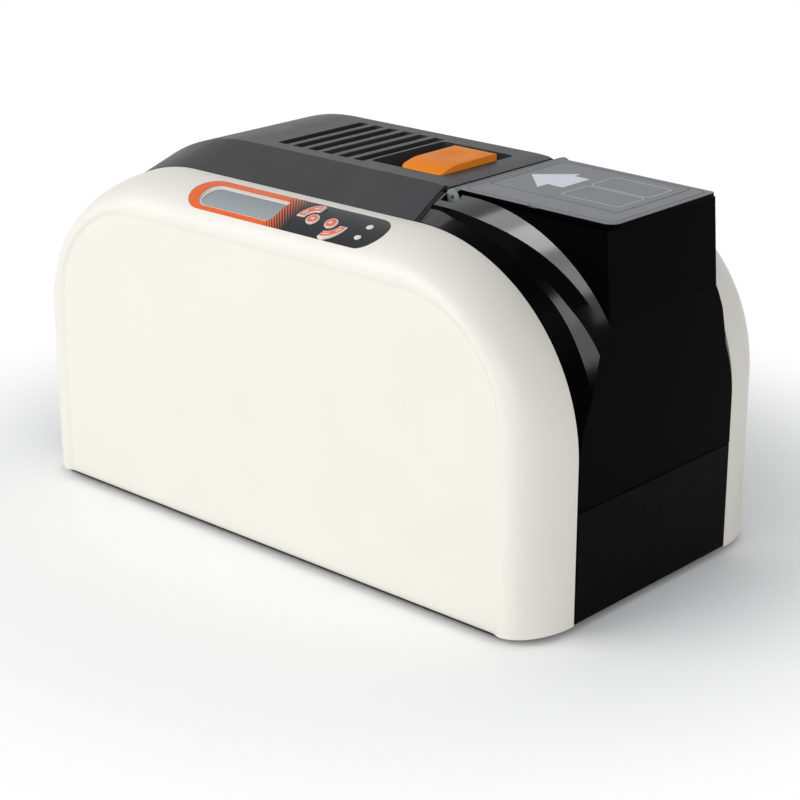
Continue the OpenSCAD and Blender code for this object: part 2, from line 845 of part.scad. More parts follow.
module front_housing() {
  neck_z = lid_pin_z - 12;
  belt_room = flange_r + 1;
  ledge_l = 2.5;
  color([0.05, 0.05, 0.055]) raised() {
    difference() {
      union() {
        intersection() {
          difference() {
            front_form(0);
            front_form(wall);
          }
          union() {
            box([housing_x0, half_l], [-shell_hw, shell_hw], [tray_h + seam, far]);
            both_sides() box([housing_x0, half_l - tray_front_t - seam], [-shell_hw, -shell_hw + wall],
              [floor_t + seam, far]);
          }
        }
        along_y(-tower_hw, tower_hw) tower_outline(0, tower_foot_z);
      }
      along_y(-tower_hw + wall, tower_hw - wall) tower_outline(wall, tower_foot_z - 1);
      lid_space();
      box([0, pick_x + belt_room], [frame_y1 + 1, far], [pick_z - belt_room, pick_z + belt_room]);
      box([0, tongue_x + 1], [-ridge_hw - 0.5, ridge_hw + 0.5], [body_h - wall - 1, far]);
      box([0, tongue_x + seam], [-lid_room_hw, lid_room_hw], [lid_pin_z - 3.5, far]);
      rod_y(lid_pin_x, lid_pin_z, lid_nose_r + 0.4, -lid_room_hw, lid_room_hw);
      box([0, lid_pin_x], [-lid_room_hw, lid_room_hw], [lid_pin_z, far]);
      box([tower_x0 - 1, tower_x0 + wall + 1], [-liner_hw - 1, liner_hw + 1], [tower_foot_z - 1, path_z + 5]);
    }
    both_sides() {
      difference() {
        union() {
          rod_y(lid_pin_x, lid_pin_z, lid_ear_r, -lid_ear_y[1], -lid_ear_y[0]);
          box([lid_pin_x - 1, lid_pin_x + 1], [-lid_ear_y[1], -lid_ear_y[0]], [neck_z, lid_pin_z]);
          box([tower_x0 + wall - eps, lid_pin_x + 1], [-lid_ear_y[1], -lid_ear_y[0]], [neck_z, neck_z + 6]);
        }
        rod_y(lid_pin_x, lid_pin_z, lid_pin_r + run_gap, -far, far);
      }
      box([tower_x0 + 10, tower_x1 - 10], [-tower_hw + wall - eps, -tower_hw + wall + ledge_l],
        [liner_top - 5, liner_top - 2]);
    }
  }
}

module hopper_lid() {
  slope = (lid_rear_z - lid_front_z) / (lid_x1 - lid_pin_x);
  color([0.42, 0.43, 0.44]) raised() difference() {
    union() {
      intersection() {
        along_y(-lid_hw, lid_hw) polygon([[lid_pin_x - 0.5, lid_rear_z], [lid_x1, lid_front_z],
          [lid_x1, lid_front_z - lid_t], [lid_pin_x - 0.5, lid_rear_z - lid_t]]);
        rounded_box([lid_pin_x - 20, lid_x1], [-lid_hw, lid_hw], [0, far], lid_corner_r);
      }
      intersection() {
        rod_y(lid_pin_x, lid_pin_z, lid_nose_r, -lid_hw, lid_hw);
        box([lid_pin_x - 10, lid_pin_x], [-lid_hw, lid_hw], [lid_rear_z - lid_t, far]);
      }
      both_sides() rod_y(lid_pin_x, lid_pin_z, lid_barrel_r, -lid_barrel_y[1], -lid_barrel_y[0]);
      for (y = [-tower_hw + wall + 1, tower_hw - wall - 2.5]) along_y(y, y + 1.5) polygon([
        [lid_pin_x + 12, lid_rear_z - 12 * slope - lid_t + eps], [lid_x1 - 8, lid_front_z - lid_t + eps],
        [lid_x1 - 8, lid_front_z - lid_t - 1.2], [lid_pin_x + 12, lid_front_z - lid_t - 1.2]]);
    }
    both_sides() {
      rod_y(lid_pin_x, lid_pin_z, lid_ear_r + 0.3, -lid_ear_y[1] - 0.3, -lid_ear_y[0] + 0.3);
      rod_y(lid_pin_x, lid_pin_z, lid_pin_r + run_gap, -far, -lid_ear_y[0]);
    }
  }
}

module lid_hinge_pins() {
  color("silver") raised() both_sides()
    rod_y(lid_pin_x, lid_pin_z, lid_pin_r, -lid_barrel_y[1] + 0.2, -lid_ear_y[0]);
}

module hopper_liner() {
  x = [liner_x0 - liner_t, liner_x1 + liner_t];
  hw = liner_hw + liner_t;
  color([0.16, 0.16, 0.17]) raised() difference() {
    union() {
      box(x, [-hw, hw], [path_z - liner_t, liner_top]);
      box([lid_pin_x + lid_barrel_r + 0.6, x[1]], [-tower_hw + wall + 0.5, tower_hw - wall - 0.5],
        [liner_top - 2, liner_top]);
    }
    box([liner_x0, liner_x1], [-liner_hw, liner_hw], [path_z, far]);
    box([pick_x - pick_r - 2, pick_x + pick_r + 2], [-roller_hw - 1, roller_hw + 1], [0, path_z + 1]);
    box([x[0] - 1, liner_x0 + 1], [-liner_hw, liner_hw], [path_z, path_z + hopper_gate]);
  }
}

module card_weight() {
  mid = (liner_x0 + liner_x1) / 2;
  hw = liner_hw - weight_gap;
  z1 = weight_z + weight_t;
  color([0.35, 0.36, 0.37]) raised() {
    rounded_box([liner_x0 + weight_gap, liner_x1 - weight_gap], [-hw, hw], [weight_z, z1], 2);
    rounded_box([mid - 12, mid + 12], [-2, 2], [z1 - eps, z1 + weight_tab_h], 1);
  }
}

module rear_housing() {
  grille_n = 8;
  grille_pitch = 4.5;
  fan_hw = fan_size / 2;
  color([0.13, 0.13, 0.135]) raised() difference() {
    union() {
      intersection() {
        core_skin();
        union() {
          difference() {
            hinge_side(-cheek_y, cheek_y, -1);
            rod_y(hinge_x, hinge_z, recess_r, -far, far);
          }
          both_sides() hinge_side(-far, -cheek_y, -1);
          both_sides() rod_y(hinge_x, hinge_z, cheek_r, -far, -cheek_y);
        }
      }
      intersection() {
        core_form(0);
        both_sides() rod_y(hinge_x, hinge_z, cheek_r, -cheek_y - cheek_t, -cheek_y);
      }
      box([rear_x + wall - eps, rear_x + 11], [rocker_y - 7.7, rocker_y + 7.7],
        [socket_z - 10.7, socket_z + 10.7]);
      for (y = [4 - fan_hw, fan_hw - 4]) for (z = [4 - fan_hw, fan_hw - 4])
        rod_x(fan_y + y, fan_z + z, 3, rear_x + wall - eps, rear_x + wall + 1);
    }
    rod_y(hinge_x, hinge_z, hinge_pin_r + run_gap, -far, far);
    box([rear_x + wall, 0], [-far, far], [-1, floor_t + seam]);
    for (i = [0:grille_n - 1]) let (z = fan_z - fan_hw + 3 + i * grille_pitch)
      box([rear_x - 1, rear_x + wall + 1], [fan_y - fan_hw + 3, fan_y + fan_hw - 3],
        [z, z + grille_pitch - 2]);
    rod_x(inlet_y, socket_z, 4.6, rear_x - 1, rear_x + wall + 1);
    box([rear_x - 1, rear_x + wall + 1], [usb_y - 6.4, usb_y + 6.4], [socket_z - 5.8, socket_z + 5.8]);
    box([rear_x - 1, rear_x + 10], [rocker_y - 6.5, rocker_y + 6.5], [socket_z - 9.5, socket_z + 9.5]);
    rod_y(rocker_x, socket_z, 1 + run_gap, rocker_y - 7.4, rocker_y + 7.4);
  }
}

// Closed outline of the base, inside both side panels
function base_quarter(in) = [for (i = [0:band_steps]) let (a = 90 * i / band_steps)
  [crease_hl + (half_l - crease_hl) * band_f(a) - wall - in, band_y(a, face_hw - wall - in)]];
function turned(points, sx, sy) = [for (p = points) [p[0] * sx, p[1] * sy]];
function reversed(points) = [for (i = [len(points) - 1:-1:0]) points[i]];
function base_outline(in) = let (q = base_quarter(in)) concat(
  q, reversed(turned(q, 1, -1)), turned(q, -1, -1), reversed(turned(q, -1, 1)));

module base_tray() {
  color([0.1, 0.1, 0.1]) raised() difference() {
    union() {
      linear_extrude(floor_t) polygon(base_outline(0.8));
      for (x = [-150, -40, 40]) box([x, x + 2], [-44, 44], [floor_t - eps, floor_t + 4]);
    }
    for (x = [-foot_x, foot_x]) for (y = [-foot_y, foot_y]) translate([x, y, -1])
      cylinder(r = foot_stem_r, h = floor_t + 2);
    for (x = [-post_x, 0, post_x]) for (y = [-post_y, post_y]) translate([x, y, 0]) {
      translate([0, 0, -1]) cylinder(r = screw_r + 0.2, h = floor_t + 2);
      translate([0, 0, -1]) cylinder(r = 3.3, h = 2.2);
    }
    for (i = [0:11]) box([-100 + i * 8, -96 + i * 8], [-30, 30], [-1, floor_t + 1]);
  }
}

module output_tray() {
  z1 = tray_h - 9;
  front_x = half_l - tray_front_t;
  front_hw = shell_hw - slide_gap;
  hollow_x = [tray_x0 + tray_wall, front_x];
  hollow_z = [tray_z0 + tray_wall, far];
  color([0.06, 0.06, 0.06]) raised() difference() {
    union() {
      box([front_x, half_l], [-front_hw, front_hw], [0.8, tray_h - 0.2]);
      box([tray_x0, front_x + eps], [-tray_hw, tray_hw], [tray_z0, z1]);
    }
    box(hollow_x, [-bay_hw, bay_hw], hollow_z);
    both_sides() box(hollow_x, [-tray_hw + tray_wall, -bay_hw - tray_wall], hollow_z);
    box([tray_x0 - 1, tray_x0 + tray_wall + 1], [-14, 14], [z1 - 16, far]);
    box([front_x - 1, half_l - 0.8], [-18, 18], [0, 4]);
  }
}

module rubber_feet() {
  color([0.05, 0.05, 0.05]) raised()
  for (x = [-foot_x, foot_x]) for (y = [-foot_y, foot_y]) translate([x, y, 0]) {
    translate([0, 0, -foot_h]) cylinder(r1 = foot_r - 1, r2 = foot_r, h = foot_h);
    translate([0, 0, -eps]) cylinder(r = foot_stem_r - run_gap, h = floor_t + eps);
    translate([0, 0, floor_t]) cylinder(r1 = foot_stem_r + 1, r2 = foot_stem_r, h = 1);
  }
}

module base_screws() {
  color("silver") raised() for (x = [-post_x, 0, post_x]) for (y = [-post_y, post_y]) translate([x, y, 0]) {
    difference() {
      cylinder(r = 3, h = 1.2);
      for (a = [0, 90]) rotate(a) translate([-2, -0.35, -1]) cube([4, 0.7, 1.7]);
    }
    translate([0, 0, 1]) cylinder(r = screw_r - run_gap, h = 13);
  }
}

// Side plate of the frame, with its bearing holes, latch slots and lightening holes
module frame_outline() {
  difference() {
    polygon([
      [frame_x0, floor_t], [frame_x1, floor_t], [frame_x1, frame_step_z], [pick_x + 16, frame_step_z],
      [pick_x + 16, path_z + 8], [neck_x, path_z + 8], [keeper_x1 + 2.7, spool_z],
      [keeper_x1 + 2.7, keeper_z + plate_t], [keeper_x0 - 2.3, keeper_z + plate_t],
      [keeper_x0 - 4.3, frame_top], [frame_x0, frame_top]]);
    for (x = [transport_x, platen_x, feed_x]) translate([x, roller_z]) circle(bush_r);
    translate([pick_x, pick_z]) circle(bush_r);
    for (x = [transport_x, feed_x]) translate([x, pinch_z]) circle(head_pin_r + run_gap);
    translate([cleaning_x, path_z + nip + cleaning_r]) circle(head_pin_r + run_gap);
    for (x = [-lug_off, lug_off]) translate([platen_x + x, lug_z]) {
      circle(journal_r + 0.2);
      translate([-journal_r - 0.2, 0]) square([2 * journal_r + 0.4, 30]);
    }
    translate([frame_x0 + 16, path_z + 14]) rounded_plate(26, 34, 5);
    translate([frame_x0 + 42, floor_t + 15]) rounded_plate(30, frame_step_z - 20, 6);
    translate([flap_x, flap_z]) circle(flap_pin_r + run_gap);
  }
}

module frame_plate() {
  along_y(-frame_y1, -frame_y) frame_outline();
  box([frame_x0, frame_x1], [-frame_y1 - 10, -frame_y1 + eps], [floor_t, floor_t + plate_t]);
}

module near_frame_plate() {
  color("gainsboro") raised() frame_plate();
}

module far_frame_plate() {
  color("gainsboro") raised() {
    difference() {
      mirror([0, 1, 0]) frame_plate();
      rod_y(motor_x, motor_z, 6, 0, far);
      rod_y(takeup_x, spool_z, journal_r + 0.2, 0, far);
    }
    for (x = board_pegs_x) for (z = board_pegs_z) {
      rod_y(x, z, 3, frame_y1 - eps, board_y);
      rod_y(x, z, 1.5, board_y - eps, board_y + 3);
    }
  }
}

module cross_ties() {
  ties = [[frame_x0 + 7, floor_t + 17.5], [frame_x1 - 10, floor_t + 17.5], [frame_x0 + 7, spool_z]];
  color("silver") raised() for (p = ties) rod_y(p[0], p[1], tie_r, -frame_y, frame_y);
}

module shaft_bushes() {
  shafts = [[transport_x, roller_z], [platen_x, roller_z], [feed_x, roller_z], [pick_x, pick_z]];
  color("darkgoldenrod") raised() both_sides() for (p = shafts) difference() {
    union() {
      rod_y(p[0], p[1], bush_r - 0.02, -frame_y1 - 0.5, -frame_y);
      rod_y(p[0], p[1], bush_flange_r, -frame_y, bush_flange_t - frame_y);
    }
    rod_y(p[0], p[1], shaft_r + run_gap, -far, 0);
  }
}

// Rubber sleeve on a shaft
module sleeve(x, z, r, hw) {
  color([0.1, 0.1, 0.1]) raised() difference() {
    rod_y(x, z, r, -hw, hw);
    rod_y(x, z, shaft_r, -hw - 1, hw + 1);
  }
}

// Steel shaft with a collar and belt pulleys on the far side
module drive_shaft(x, z, hw, tracks, end_y) {
  color("silver") raised() {
    rod_y(x, z, shaft_r, -frame_y1 - 2, end_y);
    both_sides() rod_y(x, z, shaft_r + 1.5, -hw - 3, -hw - 0.3);
    for (y = tracks) {
      rod_y(x, z, pulley_r, y - eps, y + track_w + eps);
      rod_y(x, z, flange_r, y - flange_t, y);
      rod_y(x, z, flange_r, y + track_w, y + track_w + flange_t);
    }
  }
}

module pick_roller() {
  sleeve(pick_x, pick_z, pick_r, 11);
}

module pick_shaft() {
  drive_shaft(pick_x, pick_z, 11, [track_a], track_b);
}

module feed_roller() {
  sleeve(feed_x, roller_z, roller_r, roller_hw);
}

module feed_shaft() {
  drive_shaft(feed_x, roller_z, roller_hw, [track_a, track_b], gear_y);
}

module platen_roller() {
  sleeve(platen_x, roller_z, roller_r, 28);
}

module platen_shaft() {
  drive_shaft(platen_x, roller_z, 28, [track_a, track_b], gear_y + gear_w + 1);
}

module transport_roller() {
  sleeve(transport_x, roller_z, roller_r, roller_hw);
}

module transport_shaft() {
  drive_shaft(transport_x, roller_z, roller_hw, [track_a], track_b);
}

module idle_roller(x, z, r) {
  color([0.25, 0.25, 0.26]) raised() {
    rod_y(x, z, r, -roller_hw, roller_hw);
    rod_y(x, z, head_pin_r, -frame_y1 - 1, frame_y1 + 1);
  }
}

module feed_pinch_roller() {
  idle_roller(feed_x, pinch_z, pinch_r);
}

module transport_pinch_roller() {
  idle_roller(transport_x, pinch_z, pinch_r);
}

module cleaning_roller() {
  idle_roller(cleaning_x, path_z + nip + cleaning_r, cleaning_r);
}

module platen_gear() {
  gear_r = gear_module * gear_teeth / 2;
  color("whitesmoke") raised() difference() {
    translate([platen_x, gear_y + gear_w, roller_z]) rotate([90, 0, 0]) difference() {
      linear_extrude(gear_w) rotate(mesh_ang) polygon(gear_outline(gear_teeth));
      for (i = [0:4]) rotate(i * 72) translate([gear_r * 0.62, 0, -1]) cylinder(r = 5, h = gear_w + 2);
    }
    rod_y(platen_x, roller_z, shaft_r, 0, far);
  }
}

module motor_pinion() {
  color("goldenrod") raised() {
    translate([motor_x, gear_y + gear_w, motor_z]) rotate([90, 0, 0]) linear_extrude(gear_w)
      rotate(mesh_ang - 180 + 180 / pinion_teeth) polygon(gear_outline(pinion_teeth));
    rod_y(motor_x, motor_z, 1.5, frame_y - 12, gear_y + eps);
    rod_y(motor_x, motor_z, 4, gear_y - 3, gear_y + eps);
  }
}

module main_motor() {
  color("dimgray") raised() difference() {
    union() {
      rod_y(motor_x, motor_z, motor_r, frame_y - motor_l, frame_y);
      rod_y(motor_x, motor_z, 5.8, frame_y - eps, frame_y1 + 0.5);
      rod_y(motor_x, motor_z, 7, frame_y - motor_l - 2, frame_y - motor_l + eps);
    }
    rod_y(motor_x, motor_z, 1.5 + run_gap, frame_y - 13, far);
  }
}

// Belt round two pulleys of one size
module belt(x0, z0, x1, z1, y) {
  r0 = pulley_r + belt_gap;
  r1 = r0 + belt_t;
  l = norm([x1 - x0, z1 - z0]);
  side_gap = 0.4;
  translate([x0, y + track_w - side_gap, z0]) rotate([90, -atan2(z1 - z0, x1 - x0), 0])
    linear_extrude(track_w - 2 * side_gap) difference() {
      union() {
        circle(r1);
        translate([l, 0]) circle(r1);
        translate([0, -r1]) square([l, 2 * r1]);
      }
      circle(r0);
      translate([l, 0]) circle(r0);
      translate([0, -r0]) square([l, 2 * r0]);
    }
}

module drive_belts() {
  color([0.05, 0.05, 0.05]) raised() {
    belt(transport_x, roller_z, platen_x, roller_z, track_a);
    belt(platen_x, roller_z, feed_x, roller_z, track_b);
    belt(feed_x, roller_z, pick_x, pick_z, track_a);
  }
}

// Thermal print head: a heat sink with fins on a ceramic foot, hung on a pin
module print_head() {
  foot_hw = 6;
  sink_hw = 11;
  sink_z = head_z + 9;
  fins = 5;
  fin_t = 2;
  pitch = (2 * sink_hw - fin_t) / (fins - 1);
  color([0.75, 0.76, 0.78]) raised() translate([platen_x, 0, 0]) {
    along_y(-head_hw, head_hw) polygon([
      [-foot_hw, head_z], [foot_hw, head_z], [foot_hw, head_z + 1.2], [sink_hw, head_z + 4],
      [sink_hw, sink_z], [-sink_hw, sink_z], [-sink_hw, head_z + 4], [-foot_hw, head_z + 1.2]]);
    for (i = [0:fins - 1]) let (x = -sink_hw + i * pitch, mid = i == (fins - 1) / 2)
      box([x, x + fin_t], [-head_hw, head_hw], [sink_z - eps, head_pin_z + (mid ? 4 : 1)]);
    both_sides() box([-4, 6], [-head_hw, -head_hw + 2], [sink_z - eps, head_pin_z + 4]);
    rod_y(0, head_pin_z, head_pin_r, -bracket_y - bracket_t - 1, bracket_y + bracket_t + 1);
  }
}

// Pair of arms under the cover that carry the print head
module head_bracket() {
  top = body_h - wall;
  foot_hw = 14;
  color("silver") raised() translate([platen_x, 0, 0]) {
    both_sides() {
      difference() {
        along_y(-bracket_y - bracket_t, -bracket_y) polygon([[-5, head_pin_z - 5], [5, head_pin_z - 5],
          [8, spool_z], [foot_hw, top], [-foot_hw, top], [-8, spool_z]]);
        rod_y(0, head_pin_z, head_pin_r + run_gap, -far, 0);
      }
      box([-foot_hw, foot_hw], [-40, -bracket_y - bracket_t + eps], [top - 2, top]);
    }
    box([-foot_hw, 2 - foot_hw], [-bracket_y - eps, bracket_y + eps], [top - 16, top]);
  }
}

// Ribbon cassette: two cheeks joined by bars, hung on lugs in the frame's slots
module ribbon_cassette() {
  z0 = path_z + 14;
  y1 = cassette_y + cassette_t;
  end = lug_off + 4;
  mid = 30;
  color([0.2, 0.22, 0.28]) raised() translate([platen_x, 0, 0]) {
    difference() {
      both_sides() along_y(-y1, -cassette_y) polygon([
        [-end, z0 + 20], [-mid, z0], [mid, z0], [end, z0 + 20],
        [end, cassette_z1 - 8], [mid, cassette_z1], [-mid, cassette_z1], [-end, cassette_z1 - 8]]);
      for (x = [-spool_off, spool_off]) rod_y(x, spool_z, journal_r + run_gap, -far, far);
      along_y(-far, far) translate([-14, z0 - 1]) rounded_plate(28, 26, 4);
    }
    both_sides() for (x = [-lug_off, lug_off]) rod_y(x, lug_z, journal_r, -frame_y1, -cassette_y - eps);
    for (x = [-mid, mid - 3]) box([x, x + 3], [-y1, y1], [cassette_z1 - 3, cassette_z1]);
    for (x = [-25, 25]) rod_y(x, z0 + 3, 2, -cassette_y - eps, cassette_y + eps);
  }
}

module spool(x) {
  color([0.85, 0.85, 0.82]) raised() {
    rod_y(x, spool_z, core_r, -cassette_y + 1, cassette_y - 1);
    rod_y(x, spool_z, journal_r, -frame_y + 3, frame_y - 1);
    both_sides() rod_y(x, spool_z, core_r + 2.5, -cassette_y + 1, -ribbon_hw - 1);
  }
}

module supply_spool() {
  spool(supply_x);
}

module takeup_spool() {
  spool(takeup_x);
}

module supply_ribbon() {
  color([0.1, 0.12, 0.3]) raised() difference() {
    rod_y(supply_x, spool_z, ribbon_r, -ribbon_hw, ribbon_hw);
    rod_y(supply_x, spool_z, core_r, -far, far);
  }
}

module ribbon_motor() {
  color("dimgray") raised() {
    rod_y(takeup_x, spool_z, 12, frame_y1, frame_y1 + 22);
    rod_y(takeup_x, spool_z, journal_r, frame_y + 0.2, frame_y1 + eps);
    rod_y(takeup_x, spool_z, 5, frame_y1 + 22 - eps, frame_y1 + 24);
  }
}

// Flap that turns a finished card down into the tray
module diverter_flap() {
  color([0.2, 0.2, 0.21]) raised() {
    along_y(-card_w / 2 - 1, card_w / 2 + 1) polygon([
      [flap_x - 1, flap_z + 1.1], [flap_x - 9, path_z - 2.4], [flap_x - 9.2, path_z - 3.1],
      [flap_x - 1.6, flap_z - 1], [flap_x + 1.2, flap_z - 1], [flap_x + 1.2, flap_z + 1]]);
    rod_y(flap_x, flap_z, flap_pin_r, -frame_y1 - 1, frame_y1 + 1);
  }
}

module card_guides() {
  z1 = path_z - 0.4;
  x = [frame_x0 + 12, feed_x + 8];
  notch = bush_flange_t + slide_gap;
  drop = 30;
  color([0.3, 0.3, 0.31]) raised() {
    difference() {
      box(x, [-frame_y, frame_y], [z1 - 2, z1]);
      for (c = [transport_x, platen_x, feed_x]) {
        box([c - roller_r, c + roller_r], [-29, 29], [0, far]);
        both_sides() box([c - bush_flange_r, c + bush_flange_r], [-far, notch - frame_y], [0, far]);
      }
    }
    along_y(-frame_y, frame_y) polygon([
      [flap_x + 3, path_z - 11], [flap_x + 4.6, path_z - 10.6],
      [flap_x + 15.6, path_z - 10.6 - drop], [flap_x + 14, path_z - 11 - drop]]);
    both_sides() box(x, [-card_w / 2 - 3, -card_w / 2 - 1.4], [z1 - eps, z1 + 1.1]);
  }
}

// Main board on its pegs: chips, two connectors and four capacitors
module main_board() {
  t = 1.6;
  chips = [[50, 14, 22, 22, 2.2], [90, 20, 12, 12, 1.6], [118, 8, 22, 10, 1.4],
    [12, 6, 14, 6, 9], [146, 22, 14, 6, 9]];
  cans = [[20, 32], [34, 32], [126, 36], [138, 36]];
  color("darkgreen") raised() difference() {
    translate([board_x0, board_y, board_z0]) {
      cube([main_board_l, t, main_board_h]);
      for (c = chips) translate([c[0], t - eps, c[1]]) cube([c[2], c[4], c[3]]);
      for (c = cans) rod_y(c[0], c[1], 4.5, t - eps, t + 11);
    }
    for (x = board_pegs_x) for (z = board_pegs_z) rod_y(x, z, 1.5 + run_gap, 0, far);
  }
}

module cooling_fan() {
  x0 = rear_x + wall + 1;
  hw = fan_size / 2;
  color([0.07, 0.07, 0.07]) raised() {
    difference() {
      box([x0, x0 + fan_t], [fan_y - hw, fan_y + hw], [fan_z - hw, fan_z + hw]);
      rod_x(fan_y, fan_z, hw - 1.5, x0 - 1, x0 + fan_t + 1);
      for (y = [4 - hw, hw - 4]) for (z = [4 - hw, hw - 4])
        rod_x(fan_y + y, fan_z + z, 1.6, x0 - 1, x0 + fan_t + 1);
    }
    rod_x(fan_y, fan_z, 8, x0 + fan_t - 1.5, x0 + fan_t);
    rod_x(fan_y, fan_z, 1.2, x0 + 3, x0 + fan_t - 1);
    for (a = [45:90:315]) translate([x0 + fan_t - 1.5, fan_y, fan_z]) rotate([a, 0, 0])
      translate([0, -1, 7]) cube([1.5, 2, hw - 8]);
  }
}

module fan_rotor() {
  x0 = rear_x + wall + 1.8;
  color([0.1, 0.1, 0.1]) raised() difference() {
    union() {
      rod_x(fan_y, fan_z, 9, x0, x0 + 6.8);
      for (i = [0:6]) translate([x0 + 3.4, fan_y, fan_z]) rotate([i * 360 / 7, 0, 0]) translate([0, 0, 12.8])
        rotate([0, 0, 35]) cube([6.5, 1.2, 9.2], center = true);
    }
    rod_x(fan_y, fan_z, 1.2 + run_gap, x0 + 2, x0 + 8);
  }
}

module power_inlet() {
  x1 = rear_x + wall;
  color([0.06, 0.06, 0.06]) raised() difference() {
    union() {
      rod_x(inlet_y, socket_z, 4.4, rear_x + 0.1, x1 + 1);
      box([x1, x1 + 12], [inlet_y - 6, inlet_y + 6], [socket_z - 6, socket_z + 6]);
    }
    difference() {
      rod_x(inlet_y, socket_z, 3.2, rear_x - 1, x1 + 8);
      rod_x(inlet_y, socket_z, 1.1, rear_x + 1, x1 + 9);
    }
  }
}

module usb_port() {
  x1 = rear_x + wall;
  color("silver") raised() difference() {
    union() {
      box([rear_x + 0.1, x1 + 1], [usb_y - 6.1, usb_y + 6.1], [socket_z - 5.5, socket_z + 5.5]);
      box([x1, x1 + 14], [usb_y - 7.5, usb_y + 7.5], [socket_z - 7, socket_z + 7]);
    }
    difference() {
      along_x_port(rear_x - 1, x1 + 9);
      box([rear_x + 1, x1 + 10], [usb_y - 2.8, usb_y + 2.8], [socket_z - 1.6, socket_z + 1.6]);
    }
  }
}

// Square socket opening with two bevelled corners
module along_x_port(x0, x1) {
  translate([x0, usb_y, socket_z]) rotate([90, 0, 90]) linear_extrude(x1 - x0)
    polygon([[-4.2, -3.9], [4.2, -3.9], [4.2, 2.2], [2.5, 3.9], [-2.5, 3.9], [-4.2, 2.2]]);
}

module power_rocker() {
  color([0.5, 0.06, 0.05]) raised() {
    translate([rocker_x, 0, socket_z]) rotate([0, rocker_tilt, 0]) along_y(rocker_y - 5.9, rocker_y + 5.9)
      polygon([[-2.3, 8.6], [-1.3, 0], [-2.3, -8.6], [0, -9], [4, -5], [4, 5], [0, 9]]);
    rod_y(rocker_x, socket_z, 1, rocker_y - 7.2, rocker_y + 7.2);
  }
}

control_side_panel();
far_side_panel();
top_cover();
front_housing();
rear_housing();
base_tray();
output_tray();
hopper_lid();
lid_hinge_pins();
hopper_liner();
card_weight();
release_button();
latch_hook();
latch_spring();
latch_bridge();
cover_hinge_pin();
control_overlay();
lcd_window();
lcd_module();
key_upper_arc();
key_upper_round();
key_lower_round();
key_lower_arc();
control_board();
rubber_feet();
near_frame_plate();
far_frame_plate();
cross_ties();
shaft_bushes();
pick_roller();
pick_shaft();
feed_roller();
feed_shaft();
feed_pinch_roller();
platen_roller();
platen_shaft();
platen_gear();
transport_roller();
transport_shaft();
transport_pinch_roller();
cleaning_roller();
drive_belts();
main_motor();
motor_pinion();
print_head();
head_bracket();
ribbon_cassette();
supply_spool();
supply_ribbon();
takeup_spool();
ribbon_motor();
diverter_flap();
card_guides();
main_board();
cooling_fan();
fan_rotor();
power_inlet();
usb_port();
power_rocker();
base_screws();
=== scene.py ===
"""The looks of the card printer: fine pieces over the CAD frame, their materials, the light and the camera.

Shapes are drawn in body millimetres: x along the body with the hopper at +x, y across it with the control
side at -y, and z up from the underside of the body, which stands FOOT above the floor.
"""
import math

import bmesh
import bpy
from mathutils import Matrix, Vector


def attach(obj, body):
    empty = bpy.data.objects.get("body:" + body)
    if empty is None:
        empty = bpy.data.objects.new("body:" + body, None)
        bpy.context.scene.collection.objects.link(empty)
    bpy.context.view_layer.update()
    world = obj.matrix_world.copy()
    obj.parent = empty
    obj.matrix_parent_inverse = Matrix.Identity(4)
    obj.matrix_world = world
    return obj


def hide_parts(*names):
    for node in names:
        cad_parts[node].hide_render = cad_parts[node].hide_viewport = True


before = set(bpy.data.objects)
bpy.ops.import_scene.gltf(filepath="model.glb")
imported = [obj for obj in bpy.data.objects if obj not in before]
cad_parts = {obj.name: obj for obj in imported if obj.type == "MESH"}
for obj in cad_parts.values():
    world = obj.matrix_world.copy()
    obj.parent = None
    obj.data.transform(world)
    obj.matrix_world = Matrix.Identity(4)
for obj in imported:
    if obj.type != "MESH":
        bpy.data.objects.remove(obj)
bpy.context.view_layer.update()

# the solids' own sizes, in millimetres: L is length, W width, H height, R radius, and HL and HW their halves
MM = 0.001
FOOT = 4.0
BODY_H = 198.8
HALF_L = 181.5
HALF_W = 98.5
CORE = 64.4
SHELL = 63.9
RIDGE = 41.5
EDGE_TOP = 185.0
EDGE_R = 101.0
CREASE_HL = 159.4
CREASE_TOP = 163.5
CREASE_R = 62.0
CROWN_R = 117.0
WALL = 2.5
TOWER_HW = 44.0
TOWER_X0 = 80.8
TOWER_X1 = 178.2
LID_PIN = (83.4, 194.5)
HINGE = (-133.985, 164.609)
BARREL_R = 8.9
BARREL_HW = 46.3
CHEEK_Y = 46.8
CHEEK_R = 17.5
BIG = 300.0
SIDES = (-1, 1)
MERGE = 1e-6


# ------------ mesh helpers
def placed(v):
    """A point in body millimetres, in the frame's metres."""
    return (v[0] * MM, v[1] * MM, (v[2] + FOOT) * MM)


def new_object(name, mesh, mat=None):
    obj = bpy.data.objects.new(name, mesh)
    bpy.context.scene.collection.objects.link(obj)
    if mat is not None:
        mesh.materials.clear()
        mesh.materials.append(mat)
    return obj


def from_points(name, verts, faces, mat=None):
    mesh = bpy.data.meshes.new(name)
    mesh.from_pydata([placed(v) for v in verts], [], faces)
    mesh.validate()
    return new_object(name, mesh, mat)


def tidy(obj, angle=32.0):
    """Joins doubled points, turns the faces outwards and keeps edges sharper than angle sharp."""
    bm = bmesh.new()
    bm.from_mesh(obj.data)
    bmesh.ops.remove_doubles(bm, verts=bm.verts, dist=MERGE)
    bmesh.ops.dissolve_degenerate(bm, edges=bm.edges, dist=MERGE)
    bmesh.ops.recalc_face_normals(bm, faces=bm.faces)
    bm.to_mesh(obj.data)
    bm.free()
    for p in obj.data.polygons:
        p.use_smooth = True
    obj.data.set_sharp_from_angle(angle=math.radians(angle))
    return obj


